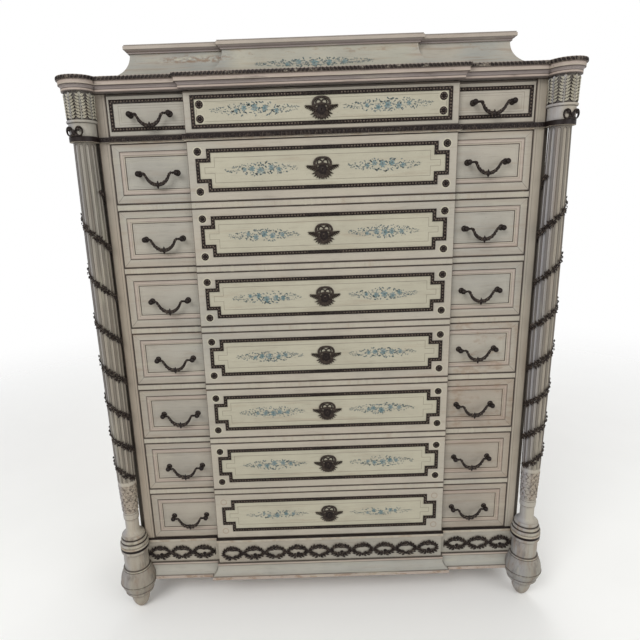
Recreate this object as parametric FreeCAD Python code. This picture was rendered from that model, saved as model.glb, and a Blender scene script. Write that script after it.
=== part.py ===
import FreeCAD
import Part
import math
import os

from FreeCAD import Vector

# A tall painted chest of eight full-width drawers: a shallow frieze drawer over seven equal
# ones, with a forward-standing centre, fluted corner columns on turned feet, a moulded
# cornice with round corner caps and a coved crown.
#
# Millimetres.  X runs across the front, Z is up from the floor.  The pieces are drawn with
# Y = 0 on the face of the stiles and +Y towards the back, and save() moves them so that the
# origin lies under the middle of the whole chest.

# ---------------------------------------------------------------- carcass
CASE_HALF = 555.0            # half width over the carcass sides
CASE_DEPTH = 480.0           # stile face to back edge
SIDE_THICK = 20.0
STILE_DEPTH = 20.0
STILE_SET_IN = 17.0          # stile edge inside the carcass side; the corner is cut back
STILE_WIDE = 26.5
RAIL = 15.0                  # height of each rail and dust board
BACK_THICK = 9.0
BACK_PLANKS = 7
BACK_GROOVE = 3.0            # V grooves between the planks
TOP_THICK = 32.0
TOP_GAP = 2.5                # frieze drawer to the underside of the top
SIDE_BORDER = 62.0           # flat border round the sunk field of a side
SIDE_SUNK = 6.0
SIDE_SLOPE = 14.0            # width of the sloping edge of that field

# ---------------------------------------------------------------- forward-standing centre
BREAK_OUT = 14.0             # how far the centre stands forward
SIDE_PANEL_WIDE = 185.0      # drawer face on each side of it
CORNICE_BREAK_IN = 13.0      # how much narrower the cornice's centre is, each side
CROWN_BREAK_IN = 97.0        # and the crown's

# ---------------------------------------------------------------- drawers
ROWS = 8
DRAWER_HIGH = 140.0
FRIEZE_HIGH = 94.0           # the shallow top drawer
DRAWER_GAP = 1.5             # all round each front
FRONT_THICK = 22.0
LAP = 14.0                   # how far the sides are let into the back of the front
BOX_SIDE = 12.0
BOX_PLAY = 2.0               # each side of the box inside its guides
RUNNER_PLAY = 0.5            # under the box
BOX_SHORT = 31.0             # back of the box in front of the case back
BOX_DROP = 16.0              # the box is lower than its front by this
BOTTOM_THICK = 7.0
BOTTOM_UP = 10.0             # underside of the drawer bottom above the box's lower edge
GROOVE = 5.0                 # how far the bottom is housed in the sides
GUIDE_HIGH = 20.0

# applied moulding on the two side panels of the seven lower drawers
PANEL_END_MARGIN = 18.5      # from the drawer's end
PANEL_TOP_MARGIN = 17.4
PANEL_FOOT_MARGIN = 21.0
PANEL_MOULD = 12.5           # width of the moulding
PANEL_PROUD = 3.0

# ---------------------------------------------------------------- bronze on the drawers
STRIP_PROUD = 2.2
STRIP_WIDE = 7.0
CENTRE_FRAME_END = 20.0      # inside the forward centre's ends
CENTRE_FRAME_TOP = 19.0      # below the drawer's top edge
CENTRE_FRAME_FOOT = 22.5     # above its lower edge
NOTCH_WIDE = 27.0            # the frame steps in round a rosette at each corner
NOTCH_HIGH = 22.0
FRIEZE_FRAME_END = 17.0
FRIEZE_FRAME_MARGIN = 11.0
FRIEZE_STRIP_END = 6.5       # three-sided strip of the frieze drawer, from the drawer's end
FRIEZE_STRIP_WIDE = 8.5
FRIEZE_STRIP_MARGIN = 12.0
ROSETTE_R = 8.5
ROSETTE_PROUD = 4.0
ROSETTE_END = 25.0           # rosette centres, inside the forward centre's ends
ROSETTE_TOP = 24.0           # below the drawer's top edge
ROSETTE_FOOT = 23.0
FRIEZE_ROSETTE_END = 37.0
FRIEZE_ROSETTE_MARGIN = 31.0
ROSETTE_SIDES = 10
ESCUTCHEON_HALF = 40.0
ESCUTCHEON_HIGH = 53.0
ESCUTCHEON_PROUD = 3.0
KEYHOLE_R = 2.6
KEYHOLE_DROP = 10.0
LOCK_WIDE = 62.0
LOCK_HIGH = 44.0
LOCK_THICK = 11.0

# ---------------------------------------------------------------- bail pulls
BAIL_ASIDE = 76.0            # middle of a pull, beside the forward centre
FRIEZE_BAIL_ASIDE = 83.0
POST_HALF = 46.5             # half the distance between the two posts
POST_OUT = 18.0              # pivot line in front of the drawer face
POST_R = 3.2
KNOB_R = 6.2
KNOB_LONG = 12.0
STUD_R = 2.0                 # stud through the front, with a square nut behind
NUT_HALF = 5.0
NUT_THICK = 3.0
PIN_R = 1.3
PIN_LONG = 4.0               # how far a bail end enters its post
PIN_PLAY = 0.45              # radial, a loose pivot
BAIL_DROP = 27.0
BAIL_R = 3.1
BAIL_LEVEL = 11.0            # level stretch beside each post
BAIL_STEPS = 4               # straight pieces in a shoulder
BUD_R = 4.6
BUD_HALF = 8.0
BAR_SIDES = 6
FINGER_GAP = 0.8             # knob face to the bail's shoulder

# ---------------------------------------------------------------- plinth and feet
PLINTH_CLEAR = 88.0          # floor to the underside of the plinth
PLINTH_HIGH = 110.5
PLINTH_THICK = 22.0
PLINTH_BASE_OUT = 20.0
PLINTH_BASE_HIGH = 9.0
PLINTH_COVE_OUT = 18.0
PLINTH_COVE_HIGH = 28.0
PLINTH_FILLET_OUT = 5.0
PLINTH_FILLET_HIGH = 6.0
PLINTH_RAIL_HIGH = 90.0
CORNER_BLOCK = 70.0
BAND_PROUD = 4.0             # bronze strip along the top of the plinth
BAND_HIGH = 12.5

WREATH_LONG = 60.0           # oval laurel wreaths on the plinth
WREATH_HIGH = 46.0
WREATH_BAND = 9.0
WREATH_PROUD = 4.0
WREATH_SIDES = 12
WREATH_PITCH = 63.5
SIDE_WREATHS = 3
SIDE_WREATH_IN = 74.0        # middle wreath of the three, inside the drawer's end
WREATH_UP = 35.0             # wreath centre below the top of the plinth

COLUMN_ASIDE = 12.0          # column axis outside the carcass side
COLUMN_OUT = 16.0            # column axis in front of the stile face
COLUMN_END_R = 30.0          # foot and capital meet the column at about this radius
TOE_R = 10.0                 # flat end that stands on the floor
TOE_SIDE_R = 21.5            # at the middle of the rounded toe's side
TOE_SIDE_UP = 17.5
TOE_TOP_R = 26.0
TOE_HIGH = 44.0
QUIRK = 3.0                  # depth of the narrow grooves between turned members
FOOT_BEAD_R = 33.0
FOOT_BEAD_HIGH = 10.0
FOOT_RING_R = 41.0
FOOT_RING_HIGH = 12.0
BOWL_LOW_R = 42.0
BOWL_TOP_R = 49.5
BOWL_BOW = 1.2               # how far its side bows out
BOWL_LEVEL = 88.0            # the bowl ends here, under the edge of the bulb
BULB_R = 51.5
BULB_EDGE = 3.0
BULB_BOW = 2.6
BULB_TOP_R = 39.0
BULB_TOP = 136.0
BULB_RIM = 4.0               # height of the rim between bulb and drum
DRUM_R = 34.5
TORUS_OUT = 9.5              # lowest of the rings over the drum, beyond the column's end
TORUS_ROUND = 2.5            # how far each ring bulges
TORUS_RINGS = 3
TORUS_HIGH = 11.5            # each
TORUS_LOW_HIGH = 11.0        # the one below the bronze band
REAR_FOOT_INSET = 35.0       # rear foot axis inside the carcass side
TURNED_PLAY = 0.3            # scribed joint round a turned piece

# ---------------------------------------------------------------- columns
NECK_R = 18.8
NECK_UP = 17.0               # height of the cove at its foot
NECK_HIGH = 45.0
BEAD_R = 21.5
BEAD_ROUND = 2.0
BEAD_HIGH = 24.0
SLEEVE_LOW_R = 21.5
SLEEVE_HIGH = 88.0
SHAFT_LOW_R = 24.3
SHAFT_TOP_R = 25.1
SHAFT_SWELL = 3.2            # entasis at mid height
SHAFT_SECTIONS = 5
FLUTES = 12
FLUTE_R = 4.2
FLUTE_DEEP = 3.0
SHAFT_PLAIN = 8.0            # unfluted stretch at each end of the shaft

CAPITAL_CORE_R = 25.5
CAPITAL_DRUM_OUT = 1.0       # drum, ring and bell beyond the column's end
CAPITAL_DRUM_HIGH = 30.0
ASTRAGAL_OUT = 5.0
ASTRAGAL_HIGH = 6.5
ASTRAGAL_ROUND = 1.5
BELL_LOW_OUT = 0.5
BELL_TOP_OUT = 2.0
BELL_HOLLOW = 0.8            # how far its side curves in

# ---------------------------------------------------------------- waist band
WAIST_PROUD = 8.0            # bronze band under the frieze drawer
WAIST_HIGH = 11.5
WAIST_FILLET_PROUD = 4.0
WAIST_RING_OUT = 3.0         # its ring round the column, beyond the column's end
BOW_LOOP_R = 11.0
BOW_THICK = 3.0
BOW_RIBBON = 5.0             # width of the ribbon, standing off the collar
BOW_AZIMUTH = 16.0           # from straight ahead towards the outer side
BOW_SPREAD = 22.0
BOW_UP = 11.5                # loop centres above the band

# ---------------------------------------------------------------- cornice and crown
CORNICE_BAND_OUT = 20.0
CORNICE_BAND_HIGH = 6.0
CORNICE_FASCIA_OUT = 27.0
CORNICE_FASCIA_LOW = 13.5
CORNICE_FASCIA_HIGH = 10.0
CORNICE_EDGE_OUT = 30.0
CORNICE_HOLLOW = 1.2         # depth of the hollow between band and fascia
CAP_BAND_R = 38.0            # round corner caps over the columns
CAP_FASCIA_R = 43.0
CAP_EDGE_R = 45.5
CROWN_IN = 109.0             # top of the crown's cove, inside the carcass side
CROWN_BACK_IN = 6.0
CROWN_SET_BACK = 13.0
CROWN_HIGH = 53.5
CROWN_FLARE = 27.0
CROWN_FOOT = 3.0
CROWN_WALL = 14.0
CROWN_CAP_OUT = 12.0
CROWN_CAP_BED_IN = 8.0       # lowest member of the cap, inside its edge
CROWN_CAP_BED_HIGH = 3.0
CROWN_CAP_EDGE_UP = 8.0      # underside of the edge above the underside of the cap
CROWN_CAP_STEP = 2.0         # small steps above and below the edge
CROWN_CAP_HIGH = 18.0

# ---------------------------------------------------------------- levels worked out
PLINTH_TOP = PLINTH_CLEAR + PLINTH_HIGH
CELL = DRAWER_HIGH + 2 * DRAWER_GAP + RAIL
LOWEST_DRAWER = PLINTH_TOP + RAIL + DRAWER_GAP
WAIST_RAIL_LOW = LOWEST_DRAWER + (ROWS - 1) * CELL - RAIL - DRAWER_GAP
WAIST_RAIL_TOP = WAIST_RAIL_LOW + RAIL
FRIEZE_LOW = WAIST_RAIL_TOP + DRAWER_GAP
TOP_LOW = FRIEZE_LOW + FRIEZE_HIGH + TOP_GAP
TOP_TOP = TOP_LOW + TOP_THICK
CROWN_TOP = TOP_TOP + CROWN_HIGH

STILE_OUTER = CASE_HALF - STILE_SET_IN
OPENING_HALF = STILE_OUTER - STILE_WIDE
DRAWER_HALF = OPENING_HALF - DRAWER_GAP
BREAK_HALF = DRAWER_HALF - SIDE_PANEL_WIDE
CORNICE_BREAK_HALF = BREAK_HALF - CORNICE_BREAK_IN
CROWN_BREAK_HALF = BREAK_HALF - CROWN_BREAK_IN
CROWN_HALF = CASE_HALF - CROWN_IN
COLUMN_X = CASE_HALF + COLUMN_ASIDE
BAIL_X = BREAK_HALF + BAIL_ASIDE
FRIEZE_BAIL_X = BREAK_HALF + FRIEZE_BAIL_ASIDE
CENTRE_WREATHS = int(2 * BREAK_HALF / WREATH_PITCH)

SIDE_INNER = CASE_HALF - SIDE_THICK
BOX_HALF = OPENING_HALF - BOX_PLAY
BACK_FACE = CASE_DEPTH - BACK_THICK
BOX_START = FRONT_THICK - LAP
BOX_END = BACK_FACE - BOX_SHORT
BAND_LOW = PLINTH_TOP + RAIL - BAND_HIGH
DRUM_TOP = BAND_LOW - TORUS_LOW_HIGH
COLUMN_FOOT = BAND_LOW + BAND_HIGH + TORUS_RINGS * TORUS_HIGH
TORUS_R = COLUMN_END_R + TORUS_OUT
TORUS_STEP = (TORUS_OUT - TORUS_ROUND) / (TORUS_RINGS - 1)
CAPITAL_DRUM_R = COLUMN_END_R + CAPITAL_DRUM_OUT
ASTRAGAL_R = COLUMN_END_R + ASTRAGAL_OUT
BELL_LOW_R = COLUMN_END_R + BELL_LOW_OUT
BELL_TOP_R = COLUMN_END_R + BELL_TOP_OUT
WAIST_RING_R = COLUMN_END_R + WAIST_RING_OUT
WAIST_LOW = WAIST_RAIL_TOP - WAIST_HIGH
SHAFT_LOW = COLUMN_FOOT + NECK_HIGH + BEAD_HIGH + SLEEVE_HIGH
FLUTE_LOW = SHAFT_LOW + SHAFT_PLAIN
FLUTE_TOP = WAIST_LOW - SHAFT_PLAIN

FRONT_REACH = COLUMN_OUT + BULB_R
ORIGIN_SHIFT = (FRONT_REACH - CASE_DEPTH) / 2


FLAT = 1e-6                  # corners closer to a plane than this share one flat face


# ---------------------------------------------------------------- helpers
def save(name, *solids):
    """Write one node, moved so that the origin is under the middle of the chest."""
    shape = solids[0].copy() if len(solids) == 1 else Part.makeCompound(list(solids))
    shape.translate(Vector(0, ORIGIN_SHIFT, 0))
    shape.exportStep(f"parts/{name}.step")


def block(x0, x1, y0, y1, z0, z1):
    return Part.makeBox(x1 - x0, y1 - y0, z1 - z0, Vector(x0, y0, z0))


def mirrored(shape):
    return shape.mirror(Vector(0, 0, 0), Vector(1, 0, 0))


def both_sides(shape):
    return [shape, mirrored(shape)]


def joined(shapes):
    return shapes[0].multiFuse(shapes[1:]).removeSplitter()


def outline(points, place):
    """A closed wire; a point is (a, b), or (a, b, "arc") for the middle of an arc."""
    corners = list(points) + [points[0]]
    edges = []
    start = place(*corners[0][:2])
    through = None
    for point in corners[1:]:
        here = place(*point[:2])
        if len(point) == 3:
            through = here
            continue
        if through is None:
            edges.append(Part.makeLine(start, here))
        else:
            edges.append(Part.Arc(start, through, here).toShape())
        start = here
        through = None
    return Part.Wire(edges)


def turned(profile, x=0.0, y=0.0):
    """A turned piece about a vertical axis from (radius, height) points, lowest first."""
    closed = [(0.0, profile[0][1])] + list(profile) + [(0.0, profile[-1][1])]
    face = Part.Face(outline(closed, lambda r, z: Vector(r, 0, z)))
    solid = face.revolve(Vector(0, 0, 0), Vector(0, 0, 1), 360)
    solid.translate(Vector(x, y, 0))
    return solid


def grown(profile, play):
    return [(point[0] + play,) + tuple(point[1:]) for point in profile]


def run_along(path, profile, level):
    """Mitred moulding along a plan path that starts going towards -Y on the left.

    The profile is in (distance out from the path, height over the level).
    """
    spine = Part.makePolygon([Vector(x, y, level) for x, y in path])
    x0, y0 = path[0]
    section = outline(profile, lambda out, up: Vector(x0 - out, y0, level + up))
    return spine.makePipeShell([section], True, False, 1)


def broken_plan(half, front, centre_half, back, out=0.0):
    """Plan path round the left side, the broken front and the right side."""
    half = half + out
    front = front - out
    centre_half = centre_half + out
    return [
        (-half, back), (-half, front), (-centre_half, front), (-centre_half, front - BREAK_OUT),
        (centre_half, front - BREAK_OUT), (centre_half, front), (half, front), (half, back),
    ]


def slab(plan, low, high):
    points = [Vector(x, y, low) for x, y in plan]
    return Part.Face(Part.makePolygon(points + points[:1])).extrude(Vector(0, 0, high - low))


def ring_points(centre, radius, sides, along, up, turn=0.0):
    """A regular polygon square to the direction 'along'."""
    side = along.cross(up)
    side.normalize()
    points = []
    for k in range(sides):
        angle = 2 * math.pi * (k + turn) / sides
        points.append(centre + up * (radius * math.cos(angle)) + side * (radius * math.sin(angle)))
    return points


def flat_faces(corners):
    """One face where four corners lie in a plane, and otherwise two triangles."""
    a, b, c, d = corners
    normal = (b - a).cross(c - a)
    if normal.Length > FLAT and abs(normal.normalize().dot(d - a)) < FLAT:
        loops = [[a, b, c, d]]
    else:
        loops = [[a, b, c], [a, c, d]]
    return [Part.Face(Part.makePolygon(loop + loop[:1])) for loop in loops]


def faceted(rings):
    """A solid of flat faces through a row of polygons with equal numbers of corners."""
    count = len(rings[0])
    faces = [Part.Face(Part.makePolygon(ring + ring[:1])) for ring in (rings[0], rings[-1])]
    for lower, upper in zip(rings, rings[1:]):
        for k in range(count):
            after = (k + 1) % count
            faces += flat_faces([lower[k], lower[after], upper[after], upper[k]])
    solid = Part.makeSolid(Part.makeShell(faces))
    if solid.Volume < 0:
        solid.reverse()
    return solid


def mitred_bar(start, end, out, profile, mitres):
    """A straight bar with its inner side on the right of start to end, seen from outside.

    The profile is in (distance inwards, distance out); a mitre of 1 is 45 degrees, 0 is square.
    """
    along = end - start
    along.normalize()
    inward = along.cross(out)

    def section(corner, slope):
        return [corner + (inward + along * slope) * across + out * proud
                for across, proud in profile]

    return faceted([section(start, mitres[0]), section(end, -mitres[1])])


def studded(x, z, stations, sides):
    """A faceted piece standing out of the front, through (y, radius) stations."""
    rings = [ring_points(Vector(x, y, z), r, sides, Vector(0, -1, 0), Vector(0, 0, 1), 0.5)
             for y, r in stations]
    return faceted(rings)


def drawer_levels(row):
    """Lower and upper edge of a drawer front, row 1 being the frieze drawer."""
    if row == 1:
        return FRIEZE_LOW, FRIEZE_LOW + FRIEZE_HIGH
    low = LOWEST_DRAWER + (ROWS - row) * CELL
    return low, low + DRAWER_HIGH


# ---------------------------------------------------------------- turned pieces
def bead(radius, low, high, bulge):
    """Profile points of a ring with bevelled edges, standing out between two levels."""
    return [(radius - bulge, low), (radius, low + bulge), (radius, high - bulge),
            (radius - bulge, high)]


def foot_profile():
    bead_low = TOE_HIGH
    ring_low = bead_low + FOOT_BEAD_HIGH
    bowl_low = ring_low + FOOT_RING_HIGH
    edge_top = BOWL_LEVEL + BULB_EDGE
    rings_low = BAND_LOW + BAND_HIGH
    profile = [(TOE_R, 0.0), (TOE_SIDE_R, TOE_SIDE_UP, "arc"), (TOE_TOP_R, TOE_HIGH)]
    profile += bead(FOOT_BEAD_R, bead_low, ring_low, QUIRK)
    profile += bead(FOOT_RING_R, ring_low, bowl_low, QUIRK)
    profile += [
        (BOWL_LOW_R, bowl_low),
        ((BOWL_LOW_R + BOWL_TOP_R) / 2 + BOWL_BOW, (bowl_low + BOWL_LEVEL) / 2, "arc"),
        (BOWL_TOP_R, BOWL_LEVEL),
        (BULB_R, BOWL_LEVEL),
        (BULB_R, edge_top),
        ((BULB_R + BULB_TOP_R) / 2 + BULB_BOW, (edge_top + BULB_TOP) / 2, "arc"),
        (BULB_TOP_R, BULB_TOP),
        (BULB_TOP_R, BULB_TOP + BULB_RIM),
        (DRUM_R, BULB_TOP + BULB_RIM),
        (DRUM_R, DRUM_TOP),
        (TORUS_R - TORUS_ROUND, DRUM_TOP),
        (TORUS_R, DRUM_TOP + TORUS_ROUND),
        (TORUS_R, BAND_LOW),
        (TORUS_R - TORUS_ROUND, BAND_LOW),
    ]
    for k in range(TORUS_RINGS):
        low = rings_low + k * TORUS_HIGH
        profile += bead(TORUS_R - k * TORUS_STEP, low, low + TORUS_HIGH, TORUS_ROUND)
    return profile


def rear_foot_profile():
    """The part of the same turning that stands below the plinth."""
    below = [point for point in foot_profile() if point[1] < PLINTH_CLEAR]
    if len(below[-1]) == 3:
        below = below[:-1]
    return below + [(BULB_R, PLINTH_CLEAR)]


def capital_profile():
    drum_low = WAIST_LOW + WAIST_HIGH
    drum_top = drum_low + CAPITAL_DRUM_HIGH
    bell_low = drum_top + ASTRAGAL_HIGH
    return [
        (CAPITAL_CORE_R, WAIST_LOW),
        (CAPITAL_CORE_R, drum_low),
        (CAPITAL_DRUM_R, drum_low),
        (CAPITAL_DRUM_R, drum_top),
        (ASTRAGAL_R - ASTRAGAL_ROUND, drum_top),
        (ASTRAGAL_R, drum_top + ASTRAGAL_HIGH / 2, "arc"),
        (ASTRAGAL_R - ASTRAGAL_ROUND, bell_low),
        (BELL_LOW_R, bell_low),
        ((BELL_LOW_R + BELL_TOP_R) / 2 - BELL_HOLLOW, (bell_low + TOP_LOW) / 2, "arc"),
        (BELL_TOP_R, TOP_LOW),
    ]


def shaft_radius(level):
    share = (level - SHAFT_LOW) / (WAIST_LOW - SHAFT_LOW)
    straight = SHAFT_LOW_R + (SHAFT_TOP_R - SHAFT_LOW_R) * share
    return straight + 4 * SHAFT_SWELL * share * (1 - share)


def fluted_section(level):
    """Section of the shaft: hollow flutes parted by flat fillets."""
    radius = shaft_radius(level)
    centre = radius - FLUTE_DEEP + FLUTE_R
    cosine = (centre ** 2 + radius ** 2 - FLUTE_R ** 2) / (2 * centre * radius)
    half_flute = math.acos(cosine)
    step = 2 * math.pi / FLUTES

    def at(angle, distance):
        return Vector(distance * math.sin(angle), -distance * math.cos(angle), level)

    edges = []
    for k in range(FLUTES):
        middle = k * step
        first = at(middle - half_flute, radius)
        last = at(middle + half_flute, radius)
        after = at(middle + step - half_flute, radius)
        edges.append(Part.Arc(first, at(middle, radius - FLUTE_DEEP), last).toShape())
        edges.append(Part.Arc(last, at(middle + step / 2, radius), after).toShape())
    return Part.Wire(edges)


def column_shaft():
    """Neck, bead, leaf sleeve and fluted shaft of one column, about its own axis."""
    bead_low = COLUMN_FOOT + NECK_HIGH
    sleeve_low = bead_low + BEAD_HIGH
    bend = math.sqrt(0.5)
    lower = turned([
        (COLUMN_END_R, COLUMN_FOOT),
        (COLUMN_END_R - (COLUMN_END_R - NECK_R) * bend, COLUMN_FOOT + NECK_UP * (1 - bend), "arc"),
        (NECK_R, COLUMN_FOOT + NECK_UP),
        (NECK_R, bead_low),
        (BEAD_R - BEAD_ROUND, bead_low),
        (BEAD_R, bead_low + BEAD_HIGH / 2, "arc"),
        (BEAD_R - BEAD_ROUND, sleeve_low),
        (SLEEVE_LOW_R, sleeve_low),
        (SHAFT_LOW_R, SHAFT_LOW),
        (shaft_radius(FLUTE_LOW), FLUTE_LOW),
    ])
    upper = turned([(shaft_radius(FLUTE_TOP), FLUTE_TOP), (SHAFT_TOP_R, WAIST_LOW)])
    span = (FLUTE_TOP - FLUTE_LOW) / (SHAFT_SECTIONS - 1)
    levels = [FLUTE_LOW + k * span for k in range(SHAFT_SECTIONS)]
    fluted = Part.makeLoft([fluted_section(level) for level in levels], True, True)
    distance = shaft_radius(FLUTE_TOP) - FLUTE_DEEP + FLUTE_R
    rounds = []
    for k in range(FLUTES):
        angle = 2 * math.pi * k / FLUTES
        spot = Vector(distance * math.sin(angle), -distance * math.cos(angle), FLUTE_TOP)
        rounds.append(Part.makeSphere(FLUTE_R, spot))
    return joined([fluted, lower, upper.cut(Part.makeCompound(rounds))])


def turned_clearance():
    """What the carcass is scribed round at each front corner."""
    foot = turned(grown(foot_profile(), TURNED_PLAY), -COLUMN_X, -COLUMN_OUT)
    capital = turned(grown(capital_profile(), TURNED_PLAY), -COLUMN_X, -COLUMN_OUT)
    ring = Part.makeCylinder(WAIST_RING_R + TURNED_PLAY, WAIST_HIGH,
                             Vector(-COLUMN_X, -COLUMN_OUT, WAIST_LOW))
    band = Part.makeCylinder(TORUS_R + TURNED_PLAY, BAND_HIGH,
                             Vector(-COLUMN_X, -COLUMN_OUT, BAND_LOW))
    return Part.makeCompound(both_sides(joined([foot, band])) + both_sides(joined([capital, ring])))


# ---------------------------------------------------------------- carcass pieces
def side_panel(clearance):
    """Left side: a mitred frame with bevelled inner edges round a thinner sunk panel."""
    wide = SIDE_BORDER + SIDE_SLOPE
    profile = [(0.0, 0.0), (0.0, SIDE_THICK), (SIDE_BORDER, SIDE_THICK),
               (wide, SIDE_THICK - SIDE_SUNK), (wide, 0.0)]
    corners = [Vector(-SIDE_INNER, y, z) for y, z in (
        (STILE_DEPTH, TOP_LOW), (STILE_DEPTH, PLINTH_TOP), (CASE_DEPTH, PLINTH_TOP),
        (CASE_DEPTH, TOP_LOW))]
    out = Vector(-1, 0, 0)
    frame = [mitred_bar(corners[k], corners[(k + 1) % 4], out, profile, (1, 1)).cut(clearance)
             for k in range(4)]
    panel = block(-SIDE_INNER - SIDE_THICK + SIDE_SUNK, -SIDE_INNER, STILE_DEPTH + wide,
                  CASE_DEPTH - wide, PLINTH_TOP + wide, TOP_LOW - wide)
    return frame + [panel]


def back_panel():
    panel = block(-SIDE_INNER, SIDE_INNER, BACK_FACE, CASE_DEPTH, PLINTH_TOP, TOP_LOW)
    pitch = 2 * SIDE_INNER / BACK_PLANKS
    grooves = []
    for k in range(1, BACK_PLANKS):
        x = -SIDE_INNER + k * pitch
        corners = [Vector(x - BACK_GROOVE, CASE_DEPTH, PLINTH_TOP),
                   Vector(x + BACK_GROOVE, CASE_DEPTH, PLINTH_TOP),
                   Vector(x, CASE_DEPTH - BACK_GROOVE, PLINTH_TOP)]
        face = Part.Face(Part.makePolygon(corners + corners[:1]))
        grooves.append(face.extrude(Vector(0, 0, TOP_LOW - PLINTH_TOP)))
    return panel.cut(Part.makeCompound(grooves))


def rail_levels():
    return [PLINTH_TOP + k * CELL for k in range(ROWS)]


def stiles_and_rails(clearance):
    """Each rail is a straight board with a facing glued on where the centre stands forward."""
    stile = block(-STILE_OUTER, -OPENING_HALF, 0, STILE_DEPTH, PLINTH_TOP, TOP_LOW)
    solids = both_sides(stile.cut(clearance))
    for low in rail_levels():
        solids.append(block(-OPENING_HALF, OPENING_HALF, 0, STILE_DEPTH, low, low + RAIL))
        solids.append(block(-BREAK_HALF, BREAK_HALF, -BREAK_OUT, 0, low, low + RAIL))
    return solids


def dust_boards():
    return [block(-SIDE_INNER, SIDE_INNER, STILE_DEPTH, BACK_FACE, level, level + RAIL)
            for level in rail_levels()[1:]]


def bottom_board():
    return block(-SIDE_INNER, SIDE_INNER, STILE_DEPTH, BACK_FACE, PLINTH_TOP, PLINTH_TOP + RAIL)


def drawer_guides():
    guides = []
    for level in rail_levels():
        guide = block(-SIDE_INNER, -OPENING_HALF, STILE_DEPTH, BOX_END,
                      level + RAIL, level + RAIL + GUIDE_HIGH)
        guides += both_sides(guide)
    return guides


def top_board():
    plan = broken_plan(CASE_HALF, 0.0, CORNICE_BREAK_HALF, CASE_DEPTH)
    return slab(plan, TOP_LOW, TOP_TOP)


def cornice(top):
    fascia_top = CORNICE_FASCIA_LOW + CORNICE_FASCIA_HIGH
    scotia = ((CORNICE_BAND_OUT + CORNICE_FASCIA_OUT) / 2 - CORNICE_HOLLOW,
              (CORNICE_BAND_HIGH + CORNICE_FASCIA_LOW) / 2 + CORNICE_HOLLOW)
    profile = [
        (0.0, 0.0), (CORNICE_BAND_OUT, 0.0), (CORNICE_BAND_OUT, CORNICE_BAND_HIGH),
        scotia + ("arc",),
        (CORNICE_FASCIA_OUT, CORNICE_FASCIA_LOW), (CORNICE_FASCIA_OUT, fascia_top),
        (CORNICE_EDGE_OUT, fascia_top), (CORNICE_EDGE_OUT, TOP_THICK), (0.0, TOP_THICK),
    ]
    path = broken_plan(CASE_HALF, 0.0, CORNICE_BREAK_HALF, CASE_DEPTH)
    straight = run_along(path, profile, TOP_LOW)
    cap = turned([
        (CAP_BAND_R, TOP_LOW), (CAP_BAND_R, TOP_LOW + CORNICE_BAND_HIGH),
        ((CAP_BAND_R + CAP_FASCIA_R) / 2 - CORNICE_HOLLOW, TOP_LOW + scotia[1], "arc"),
        (CAP_FASCIA_R, TOP_LOW + CORNICE_FASCIA_LOW), (CAP_FASCIA_R, TOP_LOW + fascia_top),
        (CAP_EDGE_R, TOP_LOW + fascia_top), (CAP_EDGE_R, TOP_TOP),
    ], -COLUMN_X, -COLUMN_OUT)
    return joined([straight] + both_sides(cap)).cut(top)


def crown_plan():
    return broken_plan(CROWN_HALF, CROWN_SET_BACK, CROWN_BREAK_HALF, CASE_DEPTH - CROWN_BACK_IN)


def crown_cove():
    """Coved boards round the front and sides, closed by a plain board at the back."""
    drop = CROWN_HIGH - CROWN_FOOT
    radius = (drop ** 2 + CROWN_FLARE ** 2) / (2 * CROWN_FLARE)
    middle = radius - math.sqrt(radius ** 2 - (drop / 2) ** 2)
    profile = [
        (-CROWN_WALL, 0.0), (CROWN_FLARE, 0.0), (CROWN_FLARE, CROWN_FOOT),
        (middle, CROWN_FOOT + drop / 2, "arc"),
        (0.0, CROWN_HIGH), (-CROWN_WALL, CROWN_HIGH),
    ]
    cove = run_along(crown_plan(), profile, TOP_TOP)
    inner = CROWN_HALF - CROWN_WALL
    back = CASE_DEPTH - CROWN_BACK_IN
    rear = block(-inner, inner, back - CROWN_WALL, back, TOP_TOP, CROWN_TOP)
    return [cove, rear]


def crown_cap():
    bed = CROWN_CAP_OUT - CROWN_CAP_BED_IN
    shy = CROWN_CAP_OUT - CROWN_CAP_STEP
    edge_top = CROWN_CAP_HIGH - CROWN_CAP_BED_HIGH
    profile = [
        (-CROWN_WALL, 0.0), (bed, 0.0), (bed, CROWN_CAP_BED_HIGH),
        ((bed + shy) / 2 + CORNICE_HOLLOW, (CROWN_CAP_BED_HIGH + CROWN_CAP_EDGE_UP) / 2, "arc"),
        (shy, CROWN_CAP_EDGE_UP), (CROWN_CAP_OUT, CROWN_CAP_EDGE_UP),
        (CROWN_CAP_OUT, edge_top), (shy, edge_top), (shy, CROWN_CAP_HIGH),
        (-CROWN_WALL, CROWN_CAP_HIGH),
    ]
    edge = run_along(crown_plan(), profile, CROWN_TOP)
    board = slab(crown_plan(), CROWN_TOP, CROWN_TOP + CROWN_CAP_HIGH)
    return joined([edge, board])


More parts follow.
